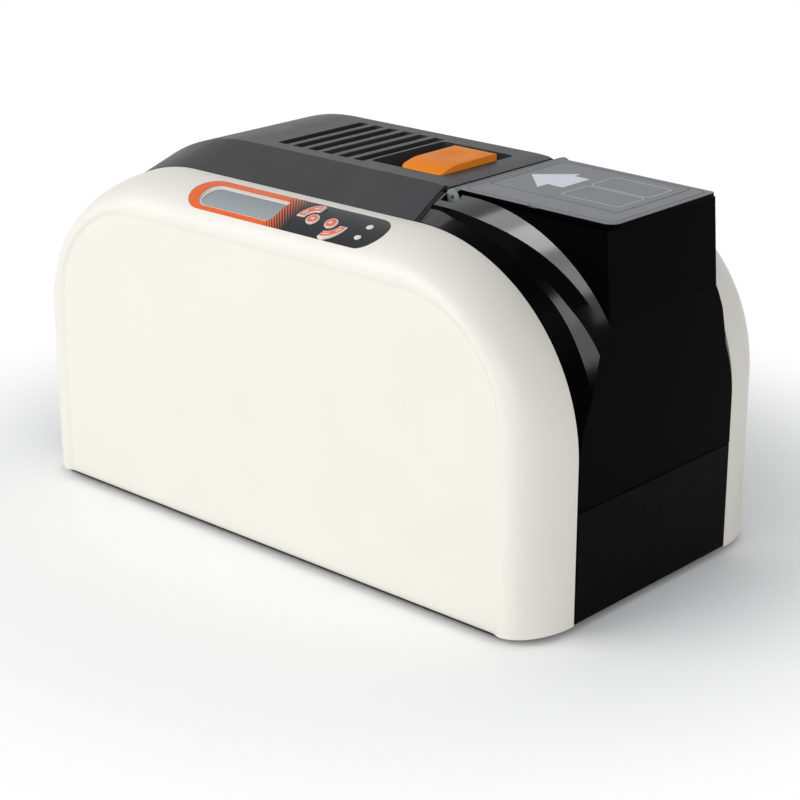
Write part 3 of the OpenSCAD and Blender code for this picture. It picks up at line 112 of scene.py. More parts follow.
def apply_modifiers(obj):
    bpy.context.view_layer.update()
    graph = bpy.context.evaluated_depsgraph_get()
    mesh = bpy.data.meshes.new_from_object(obj.evaluated_get(graph))
    old = obj.data
    obj.modifiers.clear()
    obj.data = mesh
    bpy.data.meshes.remove(old)
    return obj


def remove(obj):
    mesh = obj.data
    bpy.data.objects.remove(obj)
    bpy.data.meshes.remove(mesh)


def boolean(obj, cutters, op="DIFFERENCE"):
    """Cuts each cutter from obj, or joins or intersects it, and removes the cutter."""
    for c in cutters:
        m = obj.modifiers.new("cut", "BOOLEAN")
        m.operation = op
        m.solver = "EXACT"
        m.object = c
        apply_modifiers(obj)
        remove(c)
    return obj


def bevel(obj, width, segments, angle):
    m = obj.modifiers.new("edge", "BEVEL")
    m.width = width * MM
    m.segments = segments
    m.limit_method = "ANGLE"
    m.angle_limit = math.radians(angle)
    m.use_clamp_overlap = True
    m.miter_outer = "MITER_ARC"
    return apply_modifiers(obj)


def loft_mesh(rings):
    """The points and faces of a closed form through rings that have the same number of points."""
    n = len(rings[0])
    verts = [p for ring in rings for p in ring]
    faces = [list(range(n))[::-1]]
    for k in range(len(rings) - 1):
        low, high = k * n, (k + 1) * n
        for i in range(n):
            j = (i + 1) % n
            faces.append([low + i, low + j, high + j, high + i])
    faces.append([(len(rings) - 1) * n + i for i in range(n)])
    return verts, faces


def loft(name, rings, mat=None):
    return tidy(from_points(name, *loft_mesh(rings), mat))


def frame_faces(n):
    """Faces of a closed band between an outer and an inner outline of n points, at two heights."""
    faces = []
    for i in range(n):
        j = (i + 1) % n
        faces.append([i, j, n + j, n + i])
        faces.append([2 * n + i, 3 * n + i, 3 * n + j, 2 * n + j])
        faces.append([i, 2 * n + i, 2 * n + j, j])
        faces.append([n + i, n + j, 3 * n + j, 3 * n + i])
    return faces


def prism(name, outline, lo, hi, plane="XY", mat=None):
    """Extrudes an outline: XY up Z, XZ along Y, YZ along X."""
    def at(p, t):
        if plane == "XY":
            return (p[0], p[1], t)
        if plane == "XZ":
            return (p[0], t, p[1])
        return (t, p[0], p[1])

    return loft(name, [[at(p, t) for p in outline] for t in (lo, hi)], mat)


def cube(name, x, y, z):
    return prism(name, [(x[0], y[0]), (x[1], y[0]), (x[1], y[1]), (x[0], y[1])], z[0], z[1])


def arc(cx, cy, r, a0, a1, n):
    """n + 1 points round (cx, cy), from a0 to a1 degrees."""
    turns = [math.radians(a0 + (a1 - a0) * i / n) for i in range(n + 1)]
    return [(cx + r * math.cos(a), cy + r * math.sin(a)) for a in turns]


def disc(cx, cy, r, n=64):
    return arc(cx, cy, r, 0.0, 360.0, n)[:-1]


def rod(name, centre, r, y0, y1, n=64):
    """A round rod along y, centred on an (x, z) point."""
    return prism(name, disc(centre[0], centre[1], r, n), y0, y1, "XZ")


def rounded_rect(x0, x1, y0, y1, r, n=8):
    pts = arc(x1 - r, y1 - r, r, 0, 90, n)
    pts += arc(x0 + r, y1 - r, r, 90, 180, n)
    pts += arc(x0 + r, y0 + r, r, 180, 270, n)
    pts += arc(x1 - r, y0 + r, r, 270, 360, n)
    return pts


def arch(hl, r, top, z0=0.0, n=72):
    """The outline of an arch of half length hl, with corners of radius r, from z0 to top."""
    left = arc(-(hl - r), top - r, r, 180, 90, n)
    right = arc(hl - r, top - r, r, 90, 0, n)
    return [(-hl, z0)] + left + right + [(hl, z0)]


def mix(a, b, f):
    return [(p[0] * (1 - f) + q[0] * f, p[1] * (1 - f) + q[1] * f) for p, q in zip(a, b)]


def at_y(outline, y):
    return [(p[0], y, p[1]) for p in outline]


def y_span(side, near, far):
    """The y range from near to far on one side of the middle, in rising order."""
    return sorted((side * near, side * far))


def smooth01(t):
    return t * t * (3 - 2 * t)


# ------------ materials
class Tree:
    """A node tree, with short ways to add and link nodes."""

    def __init__(self, tree):
        self.tree = tree

    def node(self, kind, **props):
        n = self.tree.nodes.new(kind)
        for k, v in props.items():
            setattr(n, k, v)
        return n

    def link(self, a, b):
        self.tree.links.new(a, b)

    def value(self, op, a, b=None):
        """The result of a math node of numbers or outputs."""
        n = self.node("ShaderNodeMath", operation=op)
        for k, v in enumerate((a, b)):
            if isinstance(v, float):
                n.inputs[k].default_value = v
            elif v is not None:
                self.link(v, n.inputs[k])
        return n.outputs[0]


class Surface(Tree):
    """A material with its Principled BSDF, textured in object coordinates."""

    def __init__(self, name):
        self.mat = bpy.data.materials.new(name)
        self.mat.use_nodes = True
        super().__init__(self.mat.node_tree)
        self.bsdf = self.tree.nodes["Principled BSDF"]
        self.coord = self.node("ShaderNodeTexCoord")

    def feed(self, socket, output):
        """Links an output to a named socket of the shader."""
        self.link(output, self.bsdf.inputs[socket])

    def fix(self, socket, value):
        """Sets a number on the shader's own socket."""
        self.bsdf.inputs[socket].default_value = value

    def noise(self, scale, detail=3.0, rough=0.5):
        n = self.node("ShaderNodeTexNoise")
        n.inputs["Scale"].default_value = scale
        n.inputs["Detail"].default_value = detail
        n.inputs["Roughness"].default_value = rough
        self.link(self.coord.outputs["Object"], n.inputs["Vector"])
        return n.outputs["Fac"]

    def ramp(self, fac, lo, hi, p0=0.3, p1=0.7):
        r = self.node("ShaderNodeValToRGB")
        r.color_ramp.elements[0].position = p0
        r.color_ramp.elements[1].position = p1
        r.color_ramp.elements[0].color = (*lo, 1)
        r.color_ramp.elements[1].color = (*hi, 1)
        self.link(fac, r.inputs["Fac"])
        return r.outputs["Color"]

    def remap(self, fac, lo, hi):
        m = self.node("ShaderNodeMapRange")
        m.inputs["To Min"].default_value = lo
        m.inputs["To Max"].default_value = hi
        self.link(fac, m.inputs["Value"])
        return m.outputs["Result"]

    def bump(self, height, strength, distance):
        b = self.node("ShaderNodeBump")
        b.inputs["Strength"].default_value = strength
        b.inputs["Distance"].default_value = distance
        self.link(height, b.inputs["Height"])
        return b.outputs["Normal"]


TINT_SCALE = 28.0
SHEEN_SCALE = 90.0
COAT_ROUGH = 0.08


def shades(color, down, up):
    """A darker and a lighter shade of a colour."""
    return tuple(c * down for c in color), tuple(min(1.0, c * up) for c in color)


def plastic(name, color, rough, grain, depth, vary, rough_vary=0.06, strength=0.4, coat=0.0, specular=0.5):
    """Moulded plastic: its colour and roughness drift slowly, and it has a fine grain, depth metres deep."""
    m = Surface(name)
    lo, hi = shades(color, 1 - vary, 1 + vary)
    m.feed("Base Color", m.ramp(m.noise(TINT_SCALE, 4.0), lo, hi))
    smoothest, roughest = max(0.02, rough - rough_vary), min(1.0, rough + rough_vary)
    m.feed("Roughness", m.remap(m.noise(SHEEN_SCALE, 4.0), smoothest, roughest))
    m.feed("Normal", m.bump(m.noise(grain, 2.0, 0.6), strength, depth))
    m.fix("Specular IOR Level", specular)
    m.fix("Coat Weight", coat)
    m.fix("Coat Roughness", COAT_ROUGH)
    return m.mat


def brushed(name, color, rough=0.32, stretch=(1.0, 60.0, 60.0)):
    """Metal with a grain that runs along the axis of least stretch."""
    m = Surface(name)
    mapping = m.node("ShaderNodeMapping")
    mapping.inputs["Scale"].default_value = stretch
    m.link(m.coord.outputs["Object"], mapping.inputs["Vector"])
    noise = m.node("ShaderNodeTexNoise")
    noise.inputs["Scale"].default_value = 60.0
    noise.inputs["Detail"].default_value = 4.0
    m.link(mapping.outputs["Vector"], noise.inputs["Vector"])
    grain = noise.outputs["Fac"]
    m.feed("Base Color", m.ramp(grain, *shades(color, 0.88, 1.06)))
    m.feed("Roughness", m.remap(grain, rough - 0.08, rough + 0.1))
    m.feed("Normal", m.bump(grain, 0.15, 0.00002))
    m.fix("Metallic", 1.0)
    return m.mat


cream = plastic("cream_panel", (0.86, 0.835, 0.76), rough=0.36, grain=2200, depth=0.000012, vary=0.012,
                rough_vary=0.04, strength=0.25, specular=0.4)
grey_cover = plastic("grey_cover", (0.039, 0.039, 0.041), rough=0.45, grain=1500, depth=0.00006, vary=0.16,
                     strength=0.6, specular=0.22)
# painted sheen: a matte grey without reflection, standing in for the sheen on the black collar strip in front
# of the cover
collar_painted_sheen = plastic("collar_painted_sheen", (0.037, 0.037, 0.039), rough=0.5, grain=1500, depth=0.00006, vary=0.16,
                      specular=0.0)
seam_black = plastic("seam_black", (0.003, 0.003, 0.0033), rough=0.6, grain=1500, depth=0.00003, vary=0.1,
                     specular=0.0)
grey_lid = plastic("grey_lid", (0.165, 0.176, 0.188), rough=0.4, grain=1900, depth=0.00003, vary=0.04,
                   rough_vary=0.05, specular=0.3)
print_light = plastic("pale_print", (0.80, 0.84, 0.92), rough=0.5, grain=2500, depth=0.00001, vary=0.03)
print_dim = plastic("grey_print", (0.50, 0.53, 0.57), rough=0.5, grain=2500, depth=0.00001, vary=0.03)
gloss_black = plastic("gloss_black", (0.0006, 0.0006, 0.0008), rough=0.14, grain=900, depth=0.000004,
                      vary=0.1, rough_vary=0.02, strength=0.1, specular=0.012)
tray_black = plastic("textured_black", (0.0012, 0.0012, 0.0013), rough=0.5, grain=1100, depth=0.0002,
                     vary=0.15, rough_vary=0.08, strength=0.9, specular=0.03)
rear_black = plastic("satin_black", (0.012, 0.012, 0.013), rough=0.42, grain=1800, depth=0.00004, vary=0.1,
                     strength=0.5)
orange = plastic("orange_button", (0.95, 0.27, 0.02), rough=0.42, grain=2200, depth=0.00002, vary=0.03,
                 rough_vary=0.05, strength=0.3, specular=0.05)
dark_plastic = plastic("dark_plastic", (0.03, 0.03, 0.033), rough=0.5, grain=1800, depth=0.00003, vary=0.08)
knuckle_grey = plastic("knuckle_grey", (0.23, 0.26, 0.255), rough=0.4, grain=1800, depth=0.00003, vary=0.05)
rubber = plastic("soft_rubber", (0.02, 0.02, 0.021), rough=0.75, grain=1500, depth=0.00005, vary=0.1,
                 rough_vary=0.08, strength=0.6)
steel = brushed("zinc_steel", (0.6, 0.61, 0.62))
shaft_steel = brushed("turned_steel", (0.62, 0.62, 0.63), 0.22, (60.0, 1.0, 60.0))
bronze = brushed("sintered_bronze", (0.6, 0.4, 0.18), 0.4, (8.0, 8.0, 8.0))
aluminium = brushed("head_aluminium", (0.72, 0.73, 0.75), 0.3, (60.0, 1.0, 60.0))
motor_paint = plastic("motor_paint", (0.06, 0.06, 0.065), rough=0.35, grain=1200, depth=0.00003, vary=0.1)
white_plastic = plastic("gear_plastic", (0.72, 0.71, 0.66), rough=0.45, grain=1500, depth=0.00003, vary=0.03)
cassette_blue = plastic("cassette_plastic", (0.05, 0.06, 0.09), rough=0.4, grain=1500, depth=0.00003,
                        vary=0.08)
ribbon = plastic("ribbon_film", (0.015, 0.02, 0.09), rough=0.18, grain=600, depth=0.00001, vary=0.2, coat=0.6)
red_rocker = plastic("red_rocker", (0.42, 0.015, 0.012), rough=0.25, grain=1500, depth=0.00001, vary=0.04,
                     coat=0.5)
cleaning_blue = plastic("cleaning_rubber", (0.08, 0.10, 0.24), rough=0.4, grain=1500, depth=0.00002,
                        vary=0.06)


def board_material():
    m = Surface("circuit_board")
    v = m.node("ShaderNodeTexVoronoi")
    v.inputs["Scale"].default_value = 260.0
    m.link(m.coord.outputs["Object"], v.inputs["Vector"])
    tracks = v.outputs["Distance"]
    m.feed("Base Color", m.ramp(tracks, (0.012, 0.10, 0.035), (0.03, 0.22, 0.08), 0.1, 0.35))
    m.feed("Roughness", m.remap(m.noise(400.0), 0.25, 0.4))
    m.feed("Normal", m.bump(tracks, 0.3, 0.00005))
    return m.mat


board_green = board_material()


# ------------ side panels
EDGE = arch(HALF_L, EDGE_R, EDGE_TOP)
CREASE = arch(CREASE_HL, CREASE_R, CREASE_TOP)
CREASE_SHARE = 0.1


def band_f(a):
    """How far from the crease to the edge the band has come at a degrees of its quarter wave."""
    return CREASE_SHARE + (1 - CREASE_SHARE) * math.sin(math.radians(a))


def band_y(a, hw=HALF_W):
    return CORE + (hw - CORE) * math.cos(math.radians(a))


def band_point(a):
    """The control side's band over the flat top, as (y, z)."""
    return (-band_y(a), CREASE_TOP + (EDGE_TOP - CREASE_TOP) * band_f(a))


PAD_LOW = band_point(28.5)
PAD_HIGH = band_point(78.5)
PAD_CHORD = math.dist(PAD_LOW, PAD_HIGH)
PAD_DIR = ((PAD_HIGH[0] - PAD_LOW[0]) / PAD_CHORD, (PAD_HIGH[1] - PAD_LOW[1]) / PAD_CHORD)
PAD_TILT = math.atan2(PAD_DIR[1], PAD_DIR[0])
PAD_SAG = 1.6
PAD_R = PAD_CHORD ** 2 / (8 * PAD_SAG) + PAD_SAG / 2
PAD_RISE = PAD_SAG - 0.3
PAD_O = ((PAD_LOW[0] + PAD_HIGH[0]) / 2 - PAD_RISE * PAD_DIR[1],
         (PAD_LOW[1] + PAD_HIGH[1]) / 2 + PAD_RISE * PAD_DIR[0])
PAD = Matrix.Translation(placed((0, *PAD_O))) @ Matrix.Rotation(PAD_TILT, 4, "X")
LABEL_X = 6.2
LABEL_L = 135.6
LABEL_W = 25.0
LABEL_T = 0.5


def pad_w(v, t=0.0):
    """The height of the pad's gentle curve at v, or of a skin of thickness t on it."""
    return math.sqrt((PAD_R + t) ** 2 - v * v) - PAD_R


def pad_points(name, verts, faces, mat=None):
    """A piece in pad coordinates, in millimetres: u along the body, v up the slope, w out of it."""
    mesh = bpy.data.meshes.new(name)
    mesh.from_pydata([(v[0] * MM, v[1] * MM, v[2] * MM) for v in verts], [], faces)
    obj = tidy(new_object(name, mesh, mat))
    obj.matrix_world = PAD
    return obj


def flat(outline, w):
    return [(p[0], p[1], w) for p in outline]


def pad_loft(name, rings, mat=None):
    return pad_points(name, *loft_mesh(rings), mat)


def pad_cutter(name, outline):
    return pad_loft(name, [flat(outline, -7.0), flat(outline, 8.0)])


def pill_rows(inset, rows=40):
    """Rows of the label's pill outline: (v, u at the left, u at the right)."""
    r = LABEL_W / 2 - inset
    x = LABEL_L / 2 - LABEL_W / 2
    out = []
    for i in range(rows + 1):
        v = -r * math.cos(math.pi * i / rows)
        c = math.sqrt(max(0.0, r * r - v * v))
        out.append((v, LABEL_X - x - c, LABEL_X + x + c))
    return out


def grid_rim(n, w):
    """The indices round the border of a grid of n rows and w columns."""
    near_side = list(range(w))
    right = [i * w + w - 1 for i in range(1, n)]
    far_side = [(n - 1) * w + c for c in range(w - 2, -1, -1)]
    left = [i * w for i in range(n - 2, 0, -1)]
    return near_side + right + far_side + left


def pill_block(name, inset, bottom, top, mat=None, cols=60):
    """A block with the label's outline between two height functions of v."""
    rows = pill_rows(inset)
    verts, faces = [], []
    for height in (bottom, top):
        for v, u0, u1 in rows:
            for c in range(cols + 1):
                verts.append((u0 + (u1 - u0) * c / cols, v, height(v)))
    n = len(rows)
    w = cols + 1
    base = n * w
    for i in range(n - 1):
        for c in range(cols):
            a, b = i * w + c, (i + 1) * w + c
            faces.append([a, b, b + 1, a + 1])
            faces.append([base + a, base + a + 1, base + b + 1, base + b])
    rim = grid_rim(n, w)
    for a, b in zip(rim, rim[1:] + rim[:1]):
        faces.append([a, b, base + b, base + a])
    return pad_points(name, verts, faces, mat)


DISPLAY_U = (-54.0, 3.0)
DISPLAY_V = (-9.7, 7.9)


def display_outline(inset):
    """The display's opening: wide round ends at the left, tighter corners at the right."""
    u0, u1 = DISPLAY_U[0] + inset, DISPLAY_U[1] - inset
    v0, v1 = DISPLAY_V[0] + inset, DISPLAY_V[1] - inset
    wide = 8 - inset
    pts = []
    for u, v, a, r in ((u1, v1, 0, 2.2), (u0, v1, 90, wide), (u0, v0, 180, wide), (u1, v0, 270, 4.5)):
        du = -1 if a in (0, 270) else 1
        dv = -1 if a in (0, 90) else 1
        pts += arc(u + du * r, v + dv * r, r, a, a + 90, 12)
    return pts


KEY_R = 4.0
UPPER_KEYS = (26.4, -1.4)
LOWER_KEYS = (39.1, -1.2)
ARC_KEY_R = (5.8, 11.4)
ARC_KEY_HALF = 47.0
UPPER_TURN = 135
LOWER_TURN = 315


def crescent(p, turn, inset, n=24):
    """Outline of a crescent key round p; its ends are cut along rays, moved in by inset."""
    out = []
    for r, way in ((ARC_KEY_R[1] - inset, 1), (ARC_KEY_R[0] + inset, -1)):
        half = ARC_KEY_HALF - math.degrees(math.asin(min(0.9, inset / r)))
        for i in range(n + 1):
            a = math.radians(turn + way * (-half + 2 * half * i / n))
            out.append((p[0] + r * math.cos(a), p[1] + r * math.sin(a)))
    return out


def round_key(p, inset):
    return disc(p[0], p[1], KEY_R - inset, 48)


KEYS = [("key_upper_arc", "key_a", lambda s: crescent(UPPER_KEYS, UPPER_TURN, s)),
        ("key_upper_round", "key_b", lambda s: round_key(UPPER_KEYS, s)),
        ("key_lower_round", "key_c", lambda s: round_key(LOWER_KEYS, s)),
        ("key_lower_arc", "key_d", lambda s: crescent(LOWER_KEYS, LOWER_TURN, s))]

PANEL_Y = 97.15
BAND_Y = 98.45
CREASE_DEPTH = 1.3
CREASE_IN = 0.12
BAND_STEPS = 36
RETURN_IN = 0.35


def side_panel(name, side):
    """A panel's shell: its flat side, the soft crease, the curved band and the edge towards the core."""
    rings = []
    for i in range(9):
        t = i / 8
        share = -CREASE_IN + (CREASE_SHARE + CREASE_IN) * t
        rings.append(at_y(mix(CREASE, EDGE, share), side * (PANEL_Y + CREASE_DEPTH * smooth01(t))))
    for i in range(1, BAND_STEPS):
        a = 90 * i / BAND_STEPS
        rings.append(at_y(mix(CREASE, EDGE, band_f(a)), side * band_y(a, BAND_Y)))
    rings.append(at_y(mix(CREASE, EDGE, 0.9995), side * (CORE + 0.45)))
    last = arch(HALF_L - RETURN_IN, EDGE_R - RETURN_IN, EDGE_TOP - RETURN_IN)
    rings.append(at_y(last, side * CORE))
    edge_in = arch(HALF_L - WALL, EDGE_R - WALL, EDGE_TOP - WALL, -1)
    crease_in = arch(CREASE_HL - WALL, CREASE_R - WALL, CREASE_TOP - WALL, -1)
    inner = []
    for i in range(21):
        a = 90 * i / 20
        inner.append(at_y(mix(crease_in, edge_in, band_f(a)), side * band_y(a, 94.7)))
    inner.append(at_y(edge_in, side * (CORE - 1)))
    return boolean(loft(name, rings), [loft("cavity", inner)])


near = side_panel("control_side_shell", -1)
boolean(near, [pill_block("land_cut", 0.0, pad_w, lambda v: 9.0)])
boolean(near, [pad_cutter("display_cut", display_outline(0.0))])
boolean(near, [pad_cutter("key_cut", shape(0.0)) for _, _, shape in KEYS])
near.data.materials.append(cream)
tidy(near, 30)
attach(near, "printer")
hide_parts("control_side_panel")

far_shell = side_panel("far_side_shell", 1)
far_shell.data.materials.append(cream)
tidy(far_shell, 30)
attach(far_shell, "printer")
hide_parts("far_side_panel")


# ------------ control label and keys
STRIPE_LEAN = 0.93
STRIPE_RATE = 0.5
STRIPE_THINS = 0.058
RING_END = 14.0


def label_material():
    """Black film with an orange ring round the display and diagonal stripes beside it."""
    m = Surface("label_film")
    do = m.value
    xyz = m.node("ShaderNodeSeparateXYZ")
    m.link(m.coord.outputs["Object"], xyz.inputs["Vector"])
    u = do("MULTIPLY", xyz.outputs["X"], 1 / MM)
    v = do("MULTIPLY", xyz.outputs["Y"], 1 / MM)
    # stripes lean towards the display and thin out away from it
    along = do("ADD", u, do("MULTIPLY", v, STRIPE_LEAN))
    phase = do("FRACT", do("MULTIPLY", along, STRIPE_RATE))
    width = do("SUBTRACT", 0.92, do("MULTIPLY", do("ADD", u, 2.0), STRIPE_THINS))
    stripe = do("LESS_THAN", phase, width)
    solid = do("MAXIMUM", stripe, do("LESS_THAN", u, 0.0))
    col = m.node("ShaderNodeMix", data_type="RGBA")
    m.link(do("MULTIPLY", solid, do("LESS_THAN", u, RING_END)), col.inputs["Factor"])
    m.link(m.ramp(m.noise(40.0), (0.0045, 0.005, 0.009), (0.008, 0.009, 0.015)), col.inputs["A"])
    m.link(m.ramp(m.noise(60.0), (0.80, 0.115, 0.012), (0.88, 0.15, 0.02)), col.inputs["B"])
    m.feed("Base Color", col.outputs["Result"])
    m.feed("Roughness", m.remap(m.noise(120.0), 0.2, 0.32))
    m.feed("Normal", m.bump(m.noise(1800.0), 0.15, 0.00001))
    m.fix("Specular IOR Level", 0.25)
    return m.mat


label = pill_block("control_label", 0.3, lambda v: pad_w(v, 0.02), lambda v: pad_w(v, LABEL_T),
                   label_material(), 120)
boolean(label, [pad_cutter("display_hole", display_outline(-0.1))])
boolean(label, [pad_cutter("key_hole", shape(0.0)) for _, _, shape in KEYS])
tidy(label, 40)
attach(label, "printer")
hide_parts("control_overlay")


def lcd_material():
    """Grey display glass, a little darker towards its upper edge."""
    m = Surface("display_glass")
    xyz = m.node("ShaderNodeSeparateXYZ")
    m.link(m.coord.outputs["Object"], xyz.inputs["Vector"])
    fade = m.node("ShaderNodeMapRange")
    fade.inputs["From Min"].default_value = -0.010
    fade.inputs["From Max"].default_value = 0.008
    m.link(xyz.outputs["Y"], fade.inputs["Value"])
    m.feed("Base Color", m.ramp(fade.outputs["Result"], (0.36, 0.41, 0.43), (0.22, 0.26, 0.28), 0.0, 1.0))
    m.feed("Roughness", m.remap(m.noise(80.0), 0.12, 0.2))
    m.feed("Normal", m.bump(m.noise(900.0), 0.1, 0.00001))
    return m.mat


GLASS_TOP = -1.4
pane = display_outline(0.15)
glass_rings = [flat(pane, -3.2), flat(pane, GLASS_TOP - 0.1), flat(display_outline(0.25), GLASS_TOP)]
window = pad_loft("display_window", glass_rings, lcd_material())
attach(window, "printer")
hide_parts("lcd_window")

BEZEL_W = 1.4
BEZEL_LONG = 1 - 2.0 / (DISPLAY_U[1] - DISPLAY_U[0])
BEZEL_HIGH = 0.88
bezel_mat = plastic("display_bezel", (0.75, 0.74, 0.72), rough=0.4, grain=2200, depth=0.00001, vary=0.02)
outer = display_outline(0.16)
inner = []
for u, v in display_outline(0.3):
    inner.append((DISPLAY_U[0] + BEZEL_W + (u - DISPLAY_U[0]) * BEZEL_LONG, v * BEZEL_HIGH - 0.6))
bezel_points = [p for w in (-1.5, -1.0) for outline in (outer, inner) for p in flat(outline, w)]
ring = pad_points("display_bezel", bezel_points, frame_faces(len(outer)), bezel_mat)
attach(ring, "printer")

key_orange = plastic("key_orange", (0.83, 0.12, 0.016), rough=0.34, grain=2200, depth=0.00001, vary=0.03,
                     coat=0.3)
key_white = plastic("key_white", (0.80, 0.74, 0.70), rough=0.4, grain=2200, depth=0.00001, vary=0.02)
KEY_PROUD = 0.62
KEY_FOOT = -5.6
DASH_R = 8.6
DASH_TURN = 22
DASH_HALF = (1.6, 0.45)


def triangle_mark(p, way):
    """A triangle in a round key, which points along u where way is 1 and back where it is -1."""
    mark = [(p[0] - 1.1 * way, p[1] - 1.2), (p[0] + 1.2 * way, p[1]), (p[0] - 1.1 * way, p[1] + 1.2)]
    return mark if way > 0 else mark[::-1]


def dash_mark(p, turn):
    """A short dash across the ray at turn degrees, in a crescent key round p."""
    a = math.radians(turn)
    c, s = math.cos(a), math.sin(a)
    mid = (p[0] + DASH_R * c, p[1] + DASH_R * s)
    mark = []
    for i, j in ((-1, -1), (-1, 1), (1, 1), (1, -1)):
        across, out = i * DASH_HALF[0], j * DASH_HALF[1]
        mark.append((mid[0] - s * across + c * out, mid[1] + c * across + s * out))
    return mark


def key_marks(node):
    upper = "upper" in node
    p = UPPER_KEYS if upper else LOWER_KEYS
    if "round" in node:
        return [triangle_mark(p, -1 if upper else 1)]
    turn = UPPER_TURN if upper else LOWER_TURN
    return [dash_mark(p, turn - DASH_TURN), dash_mark(p, turn + DASH_TURN)]


for node, body, shape in KEYS:
    outline = shape(0.0)
    centre_v = sum(p[1] for p in outline) / len(outline)
    top = pad_w(centre_v) + LABEL_T + KEY_PROUD
    rings = [flat(shape(0.25), KEY_FOOT), flat(shape(0.25), top - 0.25), flat(shape(0.5), top)]
    cap = pad_loft(node + "_rim", rings, key_white)
    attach(cap, body)
    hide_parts(node)
    rings = [flat(shape(0.95), top - 0.2), flat(shape(0.95), top + 0.05), flat(shape(1.1), top + 0.08)]
    face = pad_loft(node + "_face", rings, key_orange)
    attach(face, body)
    for k, mark in enumerate(key_marks(node)):
        sym = pad_loft("%s_mark_%d" % (node, k), [flat(mark, top - 0.1), flat(mark, top + 0.12)], key_white)
        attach(sym, body)

LAMP_R = 2.0
LAMPS = ((61.5, 2.9), (60.7, -5.5))
for k, (u, v) in enumerate(LAMPS):
    w = pad_w(v) + LABEL_T
    rim = disc(u, v, LAMP_R, 32)
    rings = [flat(rim, w - 0.4), flat(rim, w + 0.02), flat(disc(u, v, LAMP_R - 0.35, 32), w + 0.12)]
    lamp = pad_loft("indicator_lamp_%d" % k, rings, key_white)
    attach(lamp, "printer")


# ------------ dark core: cover, rear and front housings
def crown_arch(t, z0):
    return arch(HALF_L - t, CROWN_R - t, BODY_H - t, z0)


def edge_arch(t, z0):
    return arch(HALF_L - t, EDGE_R - t, EDGE_TOP - t, z0)


def core_form(name, t):
    """The core's outer form, or the form that lies t inside it."""
    z0 = -1.0 if t else 0.0
    shell, ridge = SHELL - t, RIDGE - 0.28 * t
    edge, crown = edge_arch(t, z0), crown_arch(t, z0)
    return loft(name, [at_y(edge, -shell), at_y(crown, -ridge), at_y(crown, ridge), at_y(edge, shell)])


def skin(name):
    return boolean(core_form(name, 0.0), [core_form("core_inside", WALL)])


COVER_FRONT = 75.5
TONGUE_X = 78.3
TONGUE_HW = 40.5
PIN_BORE_R = 2.05
SPLIT_TURN = math.radians(130)
SPLIT_TOP = (HINGE[0] + 60 * math.cos(SPLIT_TURN), HINGE[1] + 60 * math.sin(SPLIT_TURN))


def cover_region():
    """The (x, z) outline of what belongs to the cover, from the hinge to its tongue."""
    low = HINGE[1] - 40
    return [HINGE, (HINGE[0], low), (TONGUE_X, low), (TONGUE_X, BODY_H + 60), SPLIT_TOP]


def rear_region():
    """The (x, z) outline of what belongs to the rear housing: behind the hinge and under it."""
    end, step = -HALF_L - 40, HINGE[0] + 8
    return [HINGE, SPLIT_TOP, (end, BODY_H), (end, -5), (step, -5), (step, HINGE[1] - 24)]


def hinge_rod(name, r, y0, y1):
    return rod(name, HINGE, r, y0, y1, n=96)


POCKET_X = (13.5, 62.5)
POCKET_HW = 29.0
POCKET_WALL = 2.0
POCKET_FLOOR = 187.8
SLOT_X1 = 11.5
SLOT_PITCH = 11.1
SLOT_W = 7.0
SLOT_HL = 32.4
SLOTS = 6


def cooling_slot(i):
    x1 = SLOT_X1 - i * SLOT_PITCH
    outline = rounded_rect(SLOT_X1 - SLOT_W - i * SLOT_PITCH, x1, -SLOT_HL, SLOT_HL, 0.6, 4)
    return prism("cooling_slot_%d" % i, outline, BODY_H - 20, BODY_H + 1)


cover = skin("top_cover_shell")
rim_only = arch(HALF_L - 8, EDGE_R - 8, EDGE_TOP - 8, -2)
boolean(cover, [prism("rim_only", rim_only, -BIG, BIG, "XZ")])
boolean(cover, [prism("cover_part", cover_region(), -BIG, BIG, "XZ")], "INTERSECT")
for s in SIDES:
    beside = y_span(s, TONGUE_HW, BIG)
    boolean(cover, [cube("tongue_side_%d" % s, (COVER_FRONT, TONGUE_X + 5), beside, (0, BIG))])
for s in SIDES:
    boolean(cover, [hinge_rod("cheek_room_%d" % s, CHEEK_R + 0.5, *y_span(s, BARREL_HW, BIG))])
barrel_rod = hinge_rod("barrel_rod", BARREL_R, -BARREL_HW, BARREL_HW)
barrel = boolean(core_form("cover_barrel", 0.0), [barrel_rod], "INTERSECT")
boolean(cover, [barrel], "UNION")
walls = rounded_rect(POCKET_X[0] - POCKET_WALL, POCKET_X[1] + POCKET_WALL,
                     -POCKET_HW - POCKET_WALL, POCKET_HW + POCKET_WALL, 5)
boolean(cover, [prism("pocket_walls", walls, POCKET_FLOOR - POCKET_WALL, BODY_H - 1.5)], "UNION")
hollow = rounded_rect(*POCKET_X, -POCKET_HW, POCKET_HW, 3)
boolean(cover, [prism("pocket_hollow", hollow, POCKET_FLOOR, BODY_H + 1)])
boolean(cover, [cube("stem_slot", (37.1, 53.7), (-6.5, 6.5), (180, 189))])
boolean(cover, [cooling_slot(i) for i in range(SLOTS)])
boolean(cover, [rod("pin_bore", HINGE, PIN_BORE_R, -BIG, BIG)])
cover.data.materials.append(grey_cover)
tidy(cover, 25)
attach(cover, "cover")
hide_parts("top_cover")

REAR_X = -HALF_L
THROUGH = (REAR_X - 1, REAR_X + WALL + 1)
BARREL_ROOM_R = BARREL_R / math.cos(math.radians(35)) + 0.3
CHEEK_W = 3.5
FAN = (26.0, 66.0)
GRILLE_HW = 17
GRILLE_PITCH = 4.5
GRILLE_SLOTS = 8
GRILLE_H = 2.5
SOCKET_Z = 34.0
INLET_Y = -44
USB_Y = (-30.4, -17.6)
ROCKER_Y = (-10.5, 2.5)
ROCKER_HH = 9.5
WELL_WALL = 1.2


def about(z, half):
    return (z - half, z + half)


